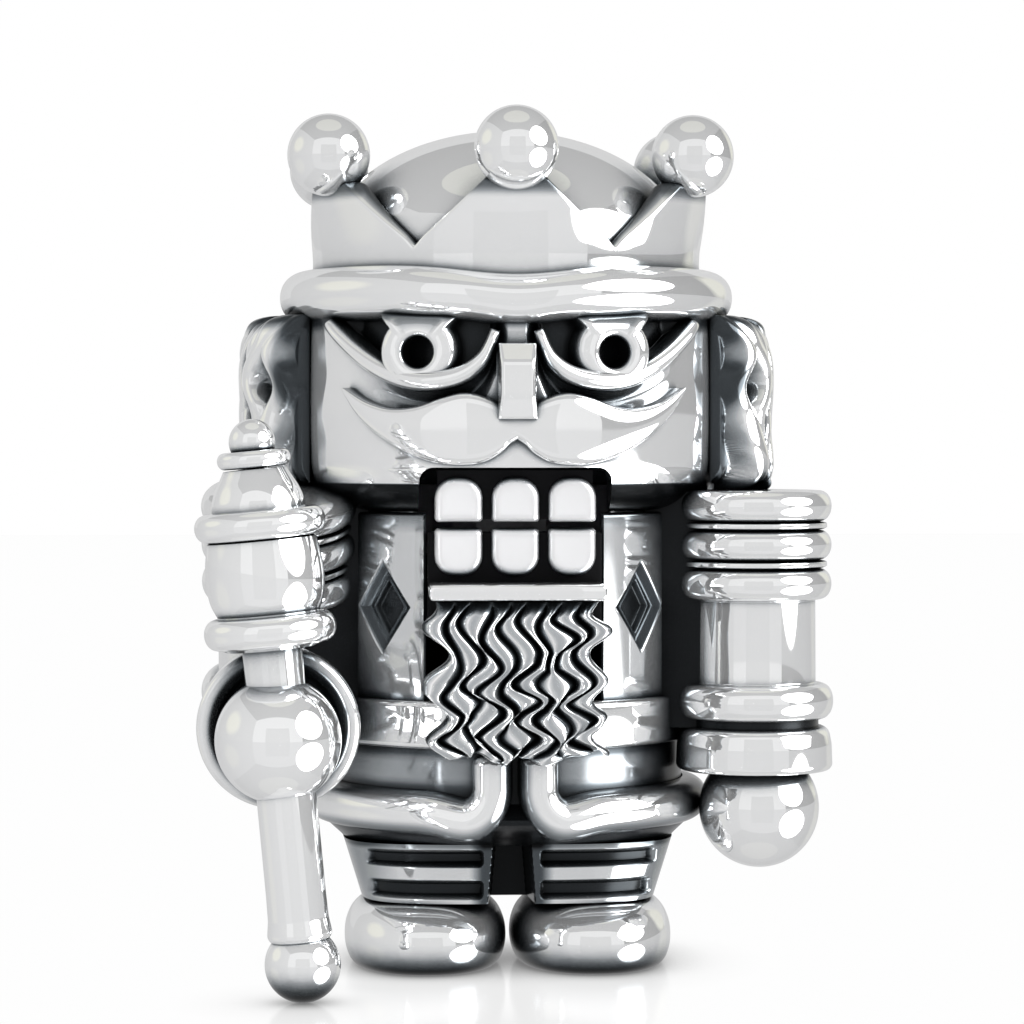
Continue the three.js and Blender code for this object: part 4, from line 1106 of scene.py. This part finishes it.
def front_fill():
    """A weak round lamp in front, which neither the camera nor a reflection sees."""
    data = bpy.data.lights.new("front_fill", "AREA")
    data.shape = "DISK"
    data.size = 0.2
    data.energy = 1.2
    obj = new_object("front_fill", data)
    place, target = AXIS + np.array([-20, -330, 40]) * MM, AXIS + np.array([0, 0, 70]) * MM
    obj.location = place
    obj.rotation_euler = Vector(target - place).to_track_quat("-Z", "Y").to_euler()
    obj.visible_camera = False
    obj.visible_glossy = False


def oval(tree, azimuth, elevation, centre, size, soft):
    """1 inside an oval patch of the room around centre, (azimuth, elevation) in degrees, 0 outside."""
    terms = []
    for angle, middle_angle, half in zip((azimuth, elevation), centre, size):
        away = math_node(tree, "SUBTRACT", angle, math.radians(middle_angle))
        away = math_node(tree, "DIVIDE", away, math.radians(half))
        terms.append(math_node(tree, "MULTIPLY", away, away))
    reach = math_node(tree, "SQRT", math_node(tree, "ADD", *terms))
    inside = math_node(tree, "DIVIDE", math_node(tree, "SUBTRACT", 1.0 + soft, reach), 2 * soft)
    inside.node.use_clamp = True
    return inside


def room(tree):
    """Colour of a pale studio room in each direction: plain walls mirrored below, a dimmer square in front,
    two cream patches, a cream ceiling patch and one bright softbox."""
    op = partial(math_node, tree)
    split = node(tree, "ShaderNodeSeparateXYZ")
    coords = node(tree, "ShaderNodeTexCoord")
    tree.links.new(coords.outputs["Generated"], split.inputs[0])
    x, y, z = split.outputs
    up = op("ABSOLUTE", z)
    sides = ((x, -0.97), (x, 0.97), (y, -1.0), (y, 0.7), (up, 0.97))
    spans = [op("MULTIPLY", axis, share) for axis, share in sides]
    most = spans[0]
    for span in spans[1:]:
        most = op("MAXIMUM", most, span)
    total = 0.0
    for span, value in zip(spans, (0.58, 0.30, 0.72, 0.66, 0.42)):
        here = op("GREATER_THAN", span, op("SUBTRACT", most, 0.0001))
        total = op("ADD", op("MULTIPLY", here, value), total)
    azimuth = op("ARCTAN2", x, op("MULTIPLY", y, -1.0))
    elevation = op("ARCSINE", up)
    side = op("LESS_THAN", op("ABSOLUTE", azimuth), math.radians(22))
    low = op("LESS_THAN", elevation, math.radians(25))
    square = op("MULTIPLY", side, low)
    total = op("SUBTRACT", total, op("MULTIPLY", square, 0.13))
    grey = node(tree, "ShaderNodeCombineColor")
    for socket in grey.inputs:
        tree.links.new(total, socket)
    colour = grey.outputs[0]
    cream = (0.74, 0.735, 0.66, 1)
    for centre, size in (((-99, 20), (19, 13)), ((138, 14), (12, 15))):
        colour = mix_colour(tree, oval(tree, azimuth, elevation, centre, size, 0.25), colour, cream)
    over = op("GREATER_THAN", elevation, math.radians(66))
    colour = mix_colour(tree, over, colour, (0.60, 0.598, 0.56, 1))
    mirrored = op("LESS_THAN", z, 0.0)
    floor_share = op("MULTIPLY", mirrored, 0.7)
    colour = mix_colour(tree, floor_share, colour, (0.56, 0.56, 0.565, 1))
    box = oval(tree, azimuth, elevation, (66, 25), (29, 22), 0.05)
    return mix_colour(tree, box, colour, (7.0, 7.0, 7.0, 1))


def studio():
    """White all round, except in reflections, which show the room."""
    scene = bpy.context.scene
    scene.world = bpy.data.worlds.new("studio")
    scene.world.use_nodes = True
    tree = scene.world.node_tree
    ray = node(tree, "ShaderNodeLightPath")
    colour = mix_colour(tree, ray.outputs["Is Glossy Ray"], (1.0, 1.0, 1.0, 1), room(tree))
    tree.links.new(colour, tree.nodes["Background"].inputs["Color"])
    scene.view_settings.view_transform = "Standard"
    floor()
    front_fill()


def camera():
    """A long lens at the height of the moustache, a little to the king's right and tipped slightly down."""
    data = bpy.data.cameras.new("camera")
    data.sensor_width = 36.0
    data.lens = 123.046875
    data.clip_start, data.clip_end = 0.01, 20
    obj = new_object("camera", data)
    yaw, pitch = math.radians(2.9), math.radians(1.34)
    distance, height, aside = 735.0, 110.8, 1.26
    right = Vector((math.cos(yaw), -math.sin(yaw), 0))
    ahead = Vector((math.sin(yaw), math.cos(yaw), 0))
    obj.location = Vector(AXIS) + Vector((0, 0, height * MM)) - ahead * distance * MM + right * aside * MM
    aim = ahead * math.cos(pitch) + Vector((0, 0, -math.sin(pitch)))
    obj.rotation_euler = aim.to_track_quat("-Z", "Y").to_euler()
    bpy.context.scene.camera = obj


def finish_inner_nodes():
    """Gives the CAD nodes that no piece stands for, the fixings and the jaw block, their materials."""
    for name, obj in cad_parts.items():
        if obj.hide_render:
            continue
        # The jaw block inside the mouth is painted black as shade.
        slot, material = ("blackened", SHADE_BLACK) if name == "upper_jaw_block" else ("steel_fixing", STEEL)
        obj.data.materials.clear()
        obj.data.materials.append(material)


for build in (boots, trousers, coat_skirt, coat_hem, belt, torso, head, moustache, lower_lids, eyes,
              nose, teeth, brow_roll, crown_band, crown_cap, crown_balls, hair, beard, jaw_lever, left_arm,
              right_arm, sceptre):
    build()
finish_inner_nodes()
studio()
camera()
